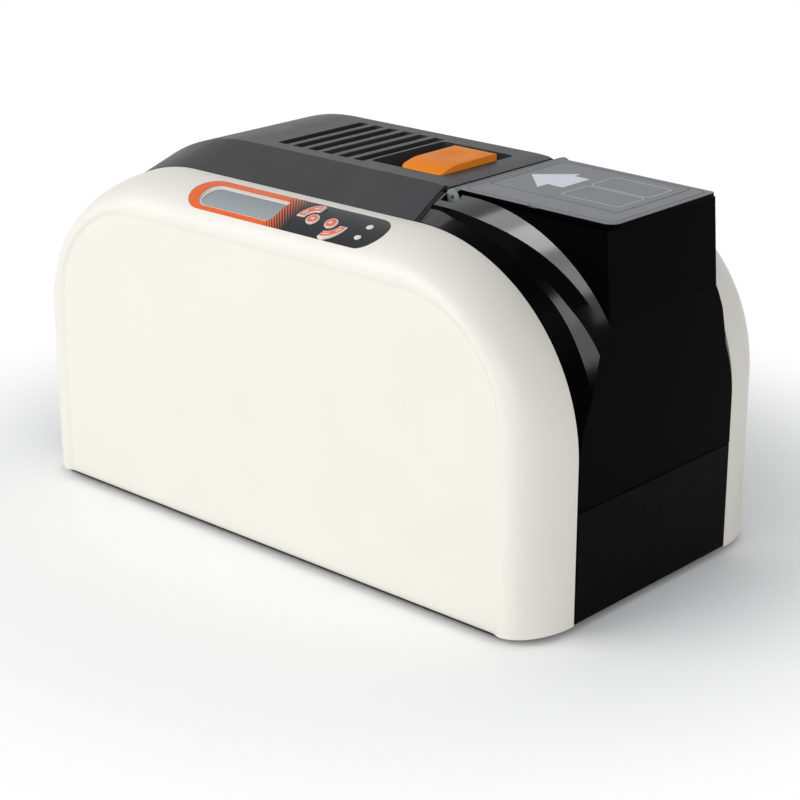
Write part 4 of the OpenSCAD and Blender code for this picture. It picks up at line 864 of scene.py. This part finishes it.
def grille_slot(i):
    low = FAN[1] - GRILLE_HW + i * GRILLE_PITCH
    high = FAN[1] - (GRILLE_HW - GRILLE_H) + i * GRILLE_PITCH
    outline = rounded_rect(FAN[0] - GRILLE_HW, FAN[0] + GRILLE_HW, low, high, 1.2, 4)
    return prism("grille_%d" % i, outline, *THROUGH, "YZ")


rear = skin("rear_shell")
barrel_room = hinge_rod("barrel_room", BARREL_ROOM_R, -BIG, BIG)
region = boolean(prism("rear_mid", rear_region(), -CHEEK_Y, CHEEK_Y, "XZ"), [barrel_room])
for s in SIDES:
    outside = y_span(s, CHEEK_Y, BIG)
    boolean(region, [prism("rear_side_%d" % s, rear_region(), *outside, "XZ")], "UNION")
    boolean(region, [hinge_rod("rear_cheek_%d" % s, CHEEK_R, *outside)], "UNION")
boolean(rear, [region], "INTERSECT")
for s in SIDES:
    cheek_rod = hinge_rod("cheek_rod_%d" % s, CHEEK_R, *y_span(s, CHEEK_Y, CHEEK_Y + CHEEK_W))
    cheek = boolean(core_form("cheek_%d" % s, 0.0), [cheek_rod], "INTERSECT")
    boolean(rear, [cheek], "UNION")
well_y = (ROCKER_Y[0] - WELL_WALL, ROCKER_Y[1] + WELL_WALL)
well_z = about(SOCKET_Z, ROCKER_HH + WELL_WALL)
boolean(rear, [cube("rocker_well", (REAR_X + WALL - 0.01, REAR_X + 11), well_y, well_z)], "UNION")
boolean(rear, [rod("pin_bore", HINGE, PIN_BORE_R, -BIG, BIG)])
boolean(rear, [cube("floor_room", (REAR_X + WALL, 0), (-BIG, BIG), (-1, 3.0))])
boolean(rear, [grille_slot(i) for i in range(GRILLE_SLOTS)])
boolean(rear, [prism("inlet_hole", disc(INLET_Y, SOCKET_Z, 4.6), *THROUGH, "YZ")])
boolean(rear, [cube("usb_hole", THROUGH, USB_Y, about(SOCKET_Z, 5.8))])
boolean(rear, [cube("rocker_hole", (REAR_X - 1, REAR_X + 10), ROCKER_Y, about(SOCKET_Z, ROCKER_HH))])
rear.data.materials.append(rear_black)
tidy(rear, 25)
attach(rear, "printer")
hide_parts("rear_housing")

HOUSING_X0 = 76.0
SHOULDER = (185.5, 102.5, 190.0)
SHOULDER_HW = 55.5
CREST = (198.0, 103.0, 196.5)
ARCH_MID = (94.9, 86.0)
BEND_LOW_Z = 75.0
LEDGE = {"x": (95.0, 180.0), "share": (0.16, 0.79), "turn": 0.45}
STEP = {"x": (155.0, 180.0), "share": (0.28, 0.53), "turn": 0.6}
DIP_START = (83.5, 98.0)
DIP_END = (140.0, 168.0)
DIP_DEPTH = 2.2
SEAM_X = 79.0
SEAM_W = 0.5
SEAM_DEPTH = 0.6
KNEE_Z = 149.4
LID_REAR_Z = 198.6
LID_FRONT_Z = 197.4
LID_T = 2.6
LID_HW = 41.7
LID_X1 = 179.8
LID_ROOM = 45.0
LID_GAP = 0.3
SCOOP_HW = 50.0
KNUCKLE_ROOM_R = 4.7
TRAY_TOP = 59.5
EAR_Y = (37.8, 40.8)
EAR_R = 2.4
EAR_BORE_R = 1.05
GATE_HW = 29.3


def ramp(x, ends):
    return smooth01(min(max((x - ends[0]) / (ends[1] - ends[0]), 0.0), 1.0))


def pushed(point, lift):
    """The point moved out from the middle of its arch by lift."""
    x, y, z = point
    out_x = x - min(max(x, -ARCH_MID[0]), ARCH_MID[0])
    out_z = z - ARCH_MID[1]
    reach = math.hypot(out_x, out_z)
    return (x + lift * out_x / reach, y, z + lift * out_z / reach)


def dipped(ring):
    """The shoulder's crease sinks a little under the tower's side."""
    return [pushed(p, -DIP_DEPTH * ramp(p[0], DIP_START) * (1 - ramp(p[0], DIP_END))) for p in ring]


def between(low, high, bend):
    """A ring between two others, pushed out so that the faces beside it turn apart and catch light."""
    first, last = bend["share"]
    ring = []
    for p, q in zip(low, high):
        f = first + (last - first) * ramp(p[0], bend["x"])
        lift = bend["turn"] * f * (1 - f) * (p[1] - q[1]) if p[2] > BEND_LOW_Z else 0.0
        ring.append(pushed([p[k] + (q[k] - p[k]) * f for k in range(3)], lift))
    return ring


def mirrored(ring):
    return [(x, -y, z) for x, y, z in ring]


def front_arch(size, t, y):
    """One arch of the front housing, from its half length, corner radius and top, t inside it."""
    hl, r, top = size
    return at_y(arch(hl - t, r - t, top - t, -1.0 if t else 0.0, 96), y)


def front_form(name, t):
    """The front housing's outer form with its bent ledges, or the plain form that lies t inside it."""
    edge = front_arch((HALF_L, EDGE_R, EDGE_TOP), t, SHELL - t)
    shoulder = front_arch(SHOULDER, t, SHOULDER_HW - t / 2)
    crest = front_arch(CREST, t, TOWER_HW - t / 2)
    half = [edge, shoulder, crest]
    if not t:
        ledge = between(shoulder, crest, LEDGE)
        shoulder = dipped(shoulder)
        half = [edge, shoulder, between(shoulder, ledge, STEP), ledge, crest]
    form = loft(name, [mirrored(ring) for ring in half] + half[::-1])
    return boolean(form, [cube("front_half", (0, HALF_L - t), (-BIG, BIG), (-2, BIG))], "INTERSECT")


def tower(name, inset, z0, rise):
    x0, x1, knee_x = TOWER_X0 + inset, TOWER_X1 - inset, HALF_L - inset
    outline = [(x0, z0), (knee_x, z0), (knee_x, KNEE_Z),
               (x1, LID_FRONT_Z - LID_T + rise), (x0, LID_REAR_Z - LID_T + rise)]
    return prism(name, outline, -TOWER_HW + inset, TOWER_HW - inset, "XZ")


def lid_room():
    """The space above the housing that the lid's plate needs."""
    rear_z, front_z = LID_REAR_Z - LID_T - LID_GAP, LID_FRONT_Z - LID_T - LID_GAP
    outline = [(TOWER_X0 - 1, rear_z), (TOWER_X1, front_z), (HALF_L + 1, front_z),
               (HALF_L + 1, BIG), (TOWER_X0 - 1, BIG)]
    return prism("lid_room", outline, -LID_HW - LID_GAP, LID_HW + LID_GAP, "XZ")


def lid_ear(s):
    """One of the two ears on the tower that hold the lid's pins."""
    y = y_span(s, *EAR_Y)
    pin_x = LID_PIN[0]
    neck = cube("ear_neck_%d" % s, (pin_x - 1, pin_x + 1), y, (182.5, 194.5))
    foot = cube("ear_foot_%d" % s, (TOWER_X0 + WALL - 0.01, pin_x + 1), y, (182.5, 188.5))
    ear = boolean(rod("lid_ear_%d" % s, LID_PIN, EAR_R, *y), [neck, foot], "UNION")
    return boolean(ear, [rod("ear_bore", LID_PIN, EAR_BORE_R, -BIG, BIG)])


front = boolean(front_form("front_shell", 0.0), [front_form("front_inside", WALL)])
keep = cube("front_keep", (HOUSING_X0, HALF_L), (-SHELL, SHELL), (TRAY_TOP, BIG))
for s in SIDES:
    beside_tray = cube("side_keep_%d" % s, (HOUSING_X0, HALF_L - 3.5), y_span(s, SHELL - WALL, SHELL),
                       (3, TRAY_TOP + 1))
    boolean(keep, [beside_tray], "UNION")
boolean(front, [keep], "INTERSECT")
boolean(front, [tower("tower_block", 0.0, 101.0, -0.3)], "UNION")
boolean(front, [tower("tower_hollow", WALL, 100.0, 20.0)])
boolean(front, [lid_room()])
boolean(front, [cube("tongue_room", (0, TONGUE_X + 1), (-42, 42), (BODY_H - WALL - 1, BIG))])
boolean(front, [cube("nose_room", (0, TONGUE_X + 0.5), (-LID_ROOM, LID_ROOM), (LID_PIN[1] - 3.5, BIG))])
boolean(front, [rod("knuckle_room", LID_PIN, KNUCKLE_ROOM_R, -LID_ROOM, LID_ROOM, n=96)])
scoop_at = (LID_PIN[0] + 1.6, LID_PIN[1] + 0.5)
boolean(front, [rod("knuckle_scoop", scoop_at, KNUCKLE_ROOM_R, -SCOOP_HW, SCOOP_HW, n=96)])
seam = cube("seam_cut", (SEAM_X - SEAM_W, SEAM_X), (-BIG, BIG), (TRAY_TOP, BIG))
boolean(front, [boolean(seam, [front_form("seam_floor", SEAM_DEPTH)])])
boolean(front, [cube("rear_lid_room", (0, LID_PIN[0]), (-LID_ROOM, LID_ROOM), (LID_PIN[1], BIG))])
gate_x = (TOWER_X0 - 1, TOWER_X0 + WALL + 1)
boolean(front, [cube("card_gate", gate_x, (-GATE_HW, GATE_HW), (100, 109))])
boolean(front, [lid_ear(s) for s in SIDES], "UNION")

front.data.materials.append(gloss_black)
front.data.materials.append(collar_painted_sheen)
front.data.materials.append(seam_black)
tidy(front, 8)
PAINTED_SHEEN = 1
SEAM = 2
TOUCH = 0.02
# upward faces of the collar strip before the seam get the painted sheen grey; its other faces and the seam
# groove get the seam's black
for face in front.data.polygons:
    if face.center.x < (SEAM_X - SEAM_W - TOUCH) * MM and face.normal.z > 0.2:
        face.material_index = PAINTED_SHEEN
    elif face.center.x < (SEAM_X + TOUCH) * MM:
        face.material_index = SEAM
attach(front, "printer")
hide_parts("front_housing")


# ------------ hopper lid with its printed marks
def lid_z(x):
    """The height of the lid's sloping top at x."""
    return LID_REAR_Z + (LID_FRONT_Z - LID_REAR_Z) * (x - LID_PIN[0]) / (LID_X1 - LID_PIN[0])


def on_lid(outline, w):
    """An outline laid on the lid's slope, w above it."""
    return [(p[0], p[1], lid_z(p[0]) + w) for p in outline]


LID_X0 = LID_PIN[0] - 0.5
NEAR_R, FAR_R = 6.0, 2.0
ROUND = 0.35
NOSE_R = 4.3
LID_BARREL_R = 4.2
LID_BARREL_Y = (41.2, 44.4)
RIB = [(95.4, 195.9), (171.8, 194.9), (171.8, 193.6), (95.4, 193.6)]
RIB_Y = (-40.5, 39.0)
RIB_W = 1.5


def shrunk(points, d):
    """The lid's plan with its sides d further in."""
    cx, half = (LID_X0 + LID_X1) / 2, (LID_X1 - LID_X0) / 2
    return [(cx + (x - cx) * (1 - d / half), y * (1 - d / LID_HW)) for x, y in points]


def lid_ring(name, x, y, r, w, lo, hi, mat=None):
    """A rounded frame of line width w on the lid, from lo to hi above its slope."""
    outer_line = rounded_rect(x[0], x[1], y[0], y[1], r)
    inner_line = rounded_rect(x[0] + w, x[1] - w, y[0] + w, y[1] - w, max(r - w, 0.3))
    verts = [p for level in (lo, hi) for line in (outer_line, inner_line) for p in on_lid(line, level)]
    return tidy(from_points(name, verts, frame_faces(len(outer_line)), mat))


plan = [(LID_X0, -LID_HW)]
plan += arc(LID_X1 - NEAR_R, -LID_HW + NEAR_R, NEAR_R, 270, 360, 12)
plan += arc(LID_X1 - FAR_R, LID_HW - FAR_R, FAR_R, 0, 90, 12)
plan.append((LID_X0, LID_HW))
rings = [on_lid(plan, -LID_T), on_lid(plan, -ROUND)]
for k in range(1, 5):
    a = math.radians(90 * k / 4)
    rings.append(on_lid(shrunk(plan, ROUND * (1 - math.cos(a))), -ROUND + ROUND * math.sin(a)))
lid = loft("hopper_lid_plate", rings)
nose_keep = cube("nose_keep", (LID_PIN[0] - 10, LID_PIN[0]), (-LID_HW, LID_HW), (LID_REAR_Z - LID_T, BIG))
nose = boolean(rod("lid_nose", LID_PIN, NOSE_R, -LID_HW, LID_HW, n=96), [nose_keep], "INTERSECT")
boolean(lid, [nose], "UNION")
for s in SIDES:
    boolean(lid, [rod("lid_barrel_%d" % s, LID_PIN, LID_BARREL_R, *y_span(s, *LID_BARREL_Y))], "UNION")
for y in RIB_Y:
    boolean(lid, [prism("lid_rib", RIB, y, y + RIB_W, "XZ")], "UNION")
boolean(lid, [rod("ear_room_%d" % s, LID_PIN, 2.7, *y_span(s, 37.5, 41.1)) for s in SIDES])
boolean(lid, [rod("lid_bore_%d" % s, LID_PIN, EAR_BORE_R, *y_span(s, EAR_Y[0], BIG)) for s in SIDES])
boolean(lid, [lid_ring("lid_groove", (86.5, 177.0), (-39.0, 39.0), 4.0, 0.5, -0.35, 1.0)])
boolean(lid, [lid_ring("panel_groove", (89.0, 168.6), (-23.2, 37.0), 1.5, 0.6, -0.4, 1.0)])
notch_y = (-LID_HW - 1, -LID_HW + 0.9)
boolean(lid, [cube("edge_notch", (129.0, 134.0), notch_y, (LID_REAR_Z - 1.6, BIG))])
lid.data.materials.append(grey_lid)
lid.data.materials.append(gloss_black)
lid.data.materials.append(knuckle_grey)
tidy(lid, 25)
UNDERSIDE = 1
KNUCKLE = 2
for face in lid.data.polygons:
    x, y, z = face.center.x / MM, abs(face.center.y) / MM, face.center.z / MM - FOOT
    on_end = abs(face.normal.y) > 0.9 and y > LID_HW + 1
    if on_end and math.dist((x, z), LID_PIN) < LID_BARREL_R:
        face.material_index = KNUCKLE
    elif lid_z(x) - z > 0.75 or (x < TONGUE_X + 2.2 and face.normal.x < -0.3):
        face.material_index = UNDERSIDE
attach(lid, "lid")
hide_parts("hopper_lid")

ARROW = [(93.3, 5.2), (111.0, -12.4), (111.0, -4.4), (120.6, -4.4), (120.6, 17.4), (111.0, 17.4),
         (111.0, 22.7)]
PRINT_UP = 0.06
arrow = loft("lid_arrow", [on_lid(ARROW, -0.2), on_lid(ARROW, PRINT_UP)], print_light)
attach(arrow, "lid")
FRAMES_X = (127.0, 163.0)
for name, y in (("lid_frame_near", (-15.3, 7.4)), ("lid_frame_far", (8.9, 30.0))):
    bare_frame = lid_ring(name, FRAMES_X, y, 2.5, 0.6, -0.2, PRINT_UP, print_dim)
    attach(bare_frame, "lid")

# ------------ release button
BUTTON_X = (34.1, 62.1)
BUTTON_Y = (-28.6, 15.0)
BUTTON_TOP = BODY_H + 3.6
RAMP_L = 15.0
RAMP_RISE = 3.4
RAMP_CURVE = 0.8
SCOOP_R = 48
SCOOP_UP = 47
foot_z = POCKET_FLOOR + 0.3
section = [(BUTTON_Y[0], foot_z), (BUTTON_Y[1], foot_z)]
section += [(BUTTON_Y[1], BUTTON_TOP - 0.6), (BUTTON_Y[1] - 0.6, BUTTON_TOP)]
for k in range(8):
    t = k / 8
    rise = RAMP_RISE * math.cos(math.radians(90 * t)) ** RAMP_CURVE
    section.append((BUTTON_Y[0] + RAMP_L * (1 - t), BODY_H + rise))
section.append((BUTTON_Y[0], BODY_H))
button = prism("release_button_body", section, *BUTTON_X, "YZ")
rounded = rounded_rect(*BUTTON_X, BUTTON_Y[0], BUTTON_Y[1] + 10, 3)
boolean(button, [prism("button_plan", rounded, 0, BIG)], "INTERSECT")
scoop_centre = placed((48.1, -2, BUTTON_TOP + SCOOP_UP))
bpy.ops.mesh.primitive_uv_sphere_add(segments=96, ring_count=64, radius=SCOOP_R * MM, location=scoop_centre)
scoop = bpy.context.object
scoop.name = "button_scoop"
bpy.ops.object.transform_apply(location=True)
boolean(button, [scoop])
button.data.materials.append(orange)
tidy(button, 25)
bevel(button, 0.5, 3, 25)
tidy(button, 40)
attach(button, "button")
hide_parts("release_button")

# ------------ finishes of the carried-over nodes
FINISH = {
    tray_black: ["output_tray", "base_tray"],
    rubber: ["rubber_feet", "pick_roller", "feed_roller", "platen_roller", "transport_roller", "drive_belts"],
    dark_plastic: ["latch_hook", "hopper_liner", "feed_pinch_roller", "transport_pinch_roller", "card_guides",
                   "cooling_fan", "fan_rotor", "power_inlet", "diverter_flap", "lcd_module"],
    knuckle_grey: ["card_weight"],
    steel: ["latch_bridge", "near_frame_plate", "far_frame_plate", "head_bracket", "usb_port",
            "latch_spring", "base_screws"],
    shaft_steel: ["cover_hinge_pin", "lid_hinge_pins", "cross_ties", "pick_shaft", "feed_shaft",
                  "platen_shaft", "transport_shaft"],
    bronze: ["shaft_bushes", "motor_pinion"],
    cleaning_blue: ["cleaning_roller"],
    white_plastic: ["platen_gear", "supply_spool", "takeup_spool"],
    motor_paint: ["main_motor", "ribbon_motor"],
    aluminium: ["print_head"],
    cassette_blue: ["ribbon_cassette"],
    ribbon: ["supply_ribbon"],
    board_green: ["control_board", "main_board"],
    red_rocker: ["power_rocker"],
}
for mat, nodes in FINISH.items():
    for node in nodes:
        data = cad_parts[node].data
        data.materials.clear()
        data.materials.append(mat)

# ------------ camera
AZ, EL = math.radians(42.23), math.radians(20.09)
back = Vector((math.sin(AZ) * math.cos(EL), -math.cos(AZ) * math.cos(EL), math.sin(EL)))
cam_data = bpy.data.cameras.new("photo_camera")
cam_data.lens = 96.0
cam_data.sensor_width = 36.0
cam_data.clip_start = 0.05
cam_data.clip_end = 20.0
cam = bpy.data.objects.new("photo_camera", cam_data)
bpy.context.scene.collection.objects.link(cam)
cam.location = (0.7502, -0.8175, 0.4654)
cam.rotation_euler = (-back).to_track_quat("-Z", "Y").to_euler()
bpy.context.scene.camera = cam

# ------------ lamps, in metres and watts
MID = (0, 0, 0.1)


def area_light(name, at, to, size, power, size_y=None):
    data = bpy.data.lights.new(name, "AREA")
    data.shape = "RECTANGLE"
    data.size = size
    data.size_y = size_y or size
    data.energy = power
    obj = bpy.data.objects.new(name, data)
    bpy.context.scene.collection.objects.link(obj)
    obj.location = at
    obj.rotation_euler = (Vector(to) - Vector(at)).to_track_quat("-Z", "Y").to_euler()
    obj.visible_camera = False
    return obj


def light_only(lamp, collection, obj):
    """The lamp lights nothing but obj, by way of a collection of its own."""
    if collection not in bpy.data.collections:
        bpy.data.collections.new(collection).objects.link(obj)
    lamp.light_linking.receiver_collection = bpy.data.collections[collection]


area_light("key_light", (-0.8, -1.4, 0.95), MID, 1.3, 17)
area_light("top_light", (-0.3, 0.1, 1.5), MID, 1.2, 1.2)
area_light("front_fill", (1.3, -1.0, 0.7), MID, 0.9, 7)

SHOULDER_SPOT = Vector((0.145, -0.05, 0.18))
STRIP_FAR = 1.2


def strip_light(name, a, b, width, radiance):
    """A softbox from direction a to direction b, which only the front housing reflects."""
    a, b = (SHOULDER_SPOT + STRIP_FAR * Vector(v).normalized() for v in (a, b))
    middle = (a + b) / 2
    length = (b - a).length
    power = radiance * math.pi * length * width
    obj = area_light(name, middle, SHOULDER_SPOT, length, power, width)
    facing = (middle - SHOULDER_SPOT).normalized()
    along = (b - a).normalized()
    along = (along - facing * along.dot(facing)).normalized()
    turn = Matrix((along, facing.cross(along), facing)).transposed()
    obj.matrix_world = Matrix.Translation(middle) @ turn.to_4x4()
    obj.visible_diffuse = False
    light_only(obj, "gloss_parts", front)


def strip_chain(name, path, width, glow):
    """Softboxes end to end along a path of directions, each with its own radiance."""
    for k, radiance in enumerate(glow):
        strip_light("%s_%d" % (name, k), path[k], path[k + 1], width, radiance)


LEDGE_PATH = [(-0.65, 0.27, 0.72), (-0.38, -0.06, 0.92), (-0.17, -0.24, 0.96), (0.12, -0.38, 0.92),
              (0.30, -0.44, 0.85), (0.52, -0.50, 0.70), (0.68, -0.53, 0.52)]
LEDGE_GLOW = [35, 190, 400, 160, 200, 50]
STEP_PATH = [(0.05, -0.91, 0.41), (0.25, -0.93, 0.26), (0.41, -0.91, 0.06)]
STEP_GLOW = [150, 105]
strip_chain("ledge_strip", LEDGE_PATH, 0.3, LEDGE_GLOW)
strip_chain("step_strip", STEP_PATH, 0.16, STEP_GLOW)


# ------------ white surroundings and floor
def looked_at(tree, rays, kinds):
    """1 for the named kinds of ray, 0 for the light on the object."""
    seen = rays[kinds[0]]
    for kind in kinds[1:]:
        seen = tree.value("MAXIMUM", seen, rays[kind])
    return seen


def show(tree, output, share, lit, seen):
    """Mixes the lit and the seen shader by share and sends them to the output."""
    mixer = tree.node("ShaderNodeMixShader")
    tree.link(share, mixer.inputs[0])
    tree.link(lit.outputs[0], mixer.inputs[1])
    tree.link(seen.outputs[0], mixer.inputs[2])
    tree.link(mixer.outputs[0], tree.node(output).inputs[0])


world = bpy.data.worlds.new("studio")
bpy.context.scene.world = world
world.use_nodes = True
world.node_tree.nodes.clear()
sky = Tree(world.node_tree)
ambient = sky.node("ShaderNodeBackground")
ambient.inputs["Color"].default_value = (0.95, 0.97, 1.0, 1)
ambient.inputs["Strength"].default_value = 0.35
white = sky.node("ShaderNodeBackground")
white.inputs["Color"].default_value = (1, 1, 1, 1)
white.inputs["Strength"].default_value = 1.0
rays = sky.node("ShaderNodeLightPath").outputs
seen = looked_at(sky, rays, ("Is Camera Ray", "Is Glossy Ray", "Is Transmission Ray"))
show(sky, "ShaderNodeOutputWorld", seen, ambient, white)

FLOOR_HALF = 6
WHITE_FROM = 0.17
WHITE_AT = 0.38
floor_mat = bpy.data.materials.new("pale_floor")
floor_mat.use_nodes = True
floor_mat.node_tree.nodes.clear()
ground = Tree(floor_mat.node_tree)
matte = ground.node("ShaderNodeBsdfDiffuse")
matte.inputs["Color"].default_value = (0.96, 0.96, 0.96, 1)
# away from the object the floor turns plain white, for the camera and in reflections alone
glow = ground.node("ShaderNodeEmission")
reach = ground.node("ShaderNodeVectorMath", operation="LENGTH")
ground.link(ground.node("ShaderNodeTexCoord").outputs["Object"], reach.inputs[0])
fade = ground.node("ShaderNodeMapRange", interpolation_type="SMOOTHSTEP")
fade.inputs["From Min"].default_value = WHITE_FROM
fade.inputs["From Max"].default_value = WHITE_AT
ground.link(reach.outputs["Value"], fade.inputs["Value"])
rays = ground.node("ShaderNodeLightPath").outputs
seen = looked_at(ground, rays, ("Is Camera Ray", "Is Glossy Ray"))
share = ground.value("MULTIPLY", seen, fade.outputs["Result"])
show(ground, "ShaderNodeOutputMaterial", share, matte, glow)

corners = [(x * FLOOR_HALF, y * FLOOR_HALF, 0) for x, y in ((-1, -1), (1, -1), (1, 1), (-1, 1))]
floor_mesh = bpy.data.meshes.new("floor")
floor_mesh.from_pydata(corners, [], [[0, 1, 2, 3]])
floor = new_object("floor", floor_mesh, floor_mat)
wash = area_light("floor_wash", (0.5, -0.5, 1.6), (0.1, 0, 0), 1.5, 3.5)
light_only(wash, "floor_parts", floor)

bpy.context.scene.view_settings.view_transform = "Standard"
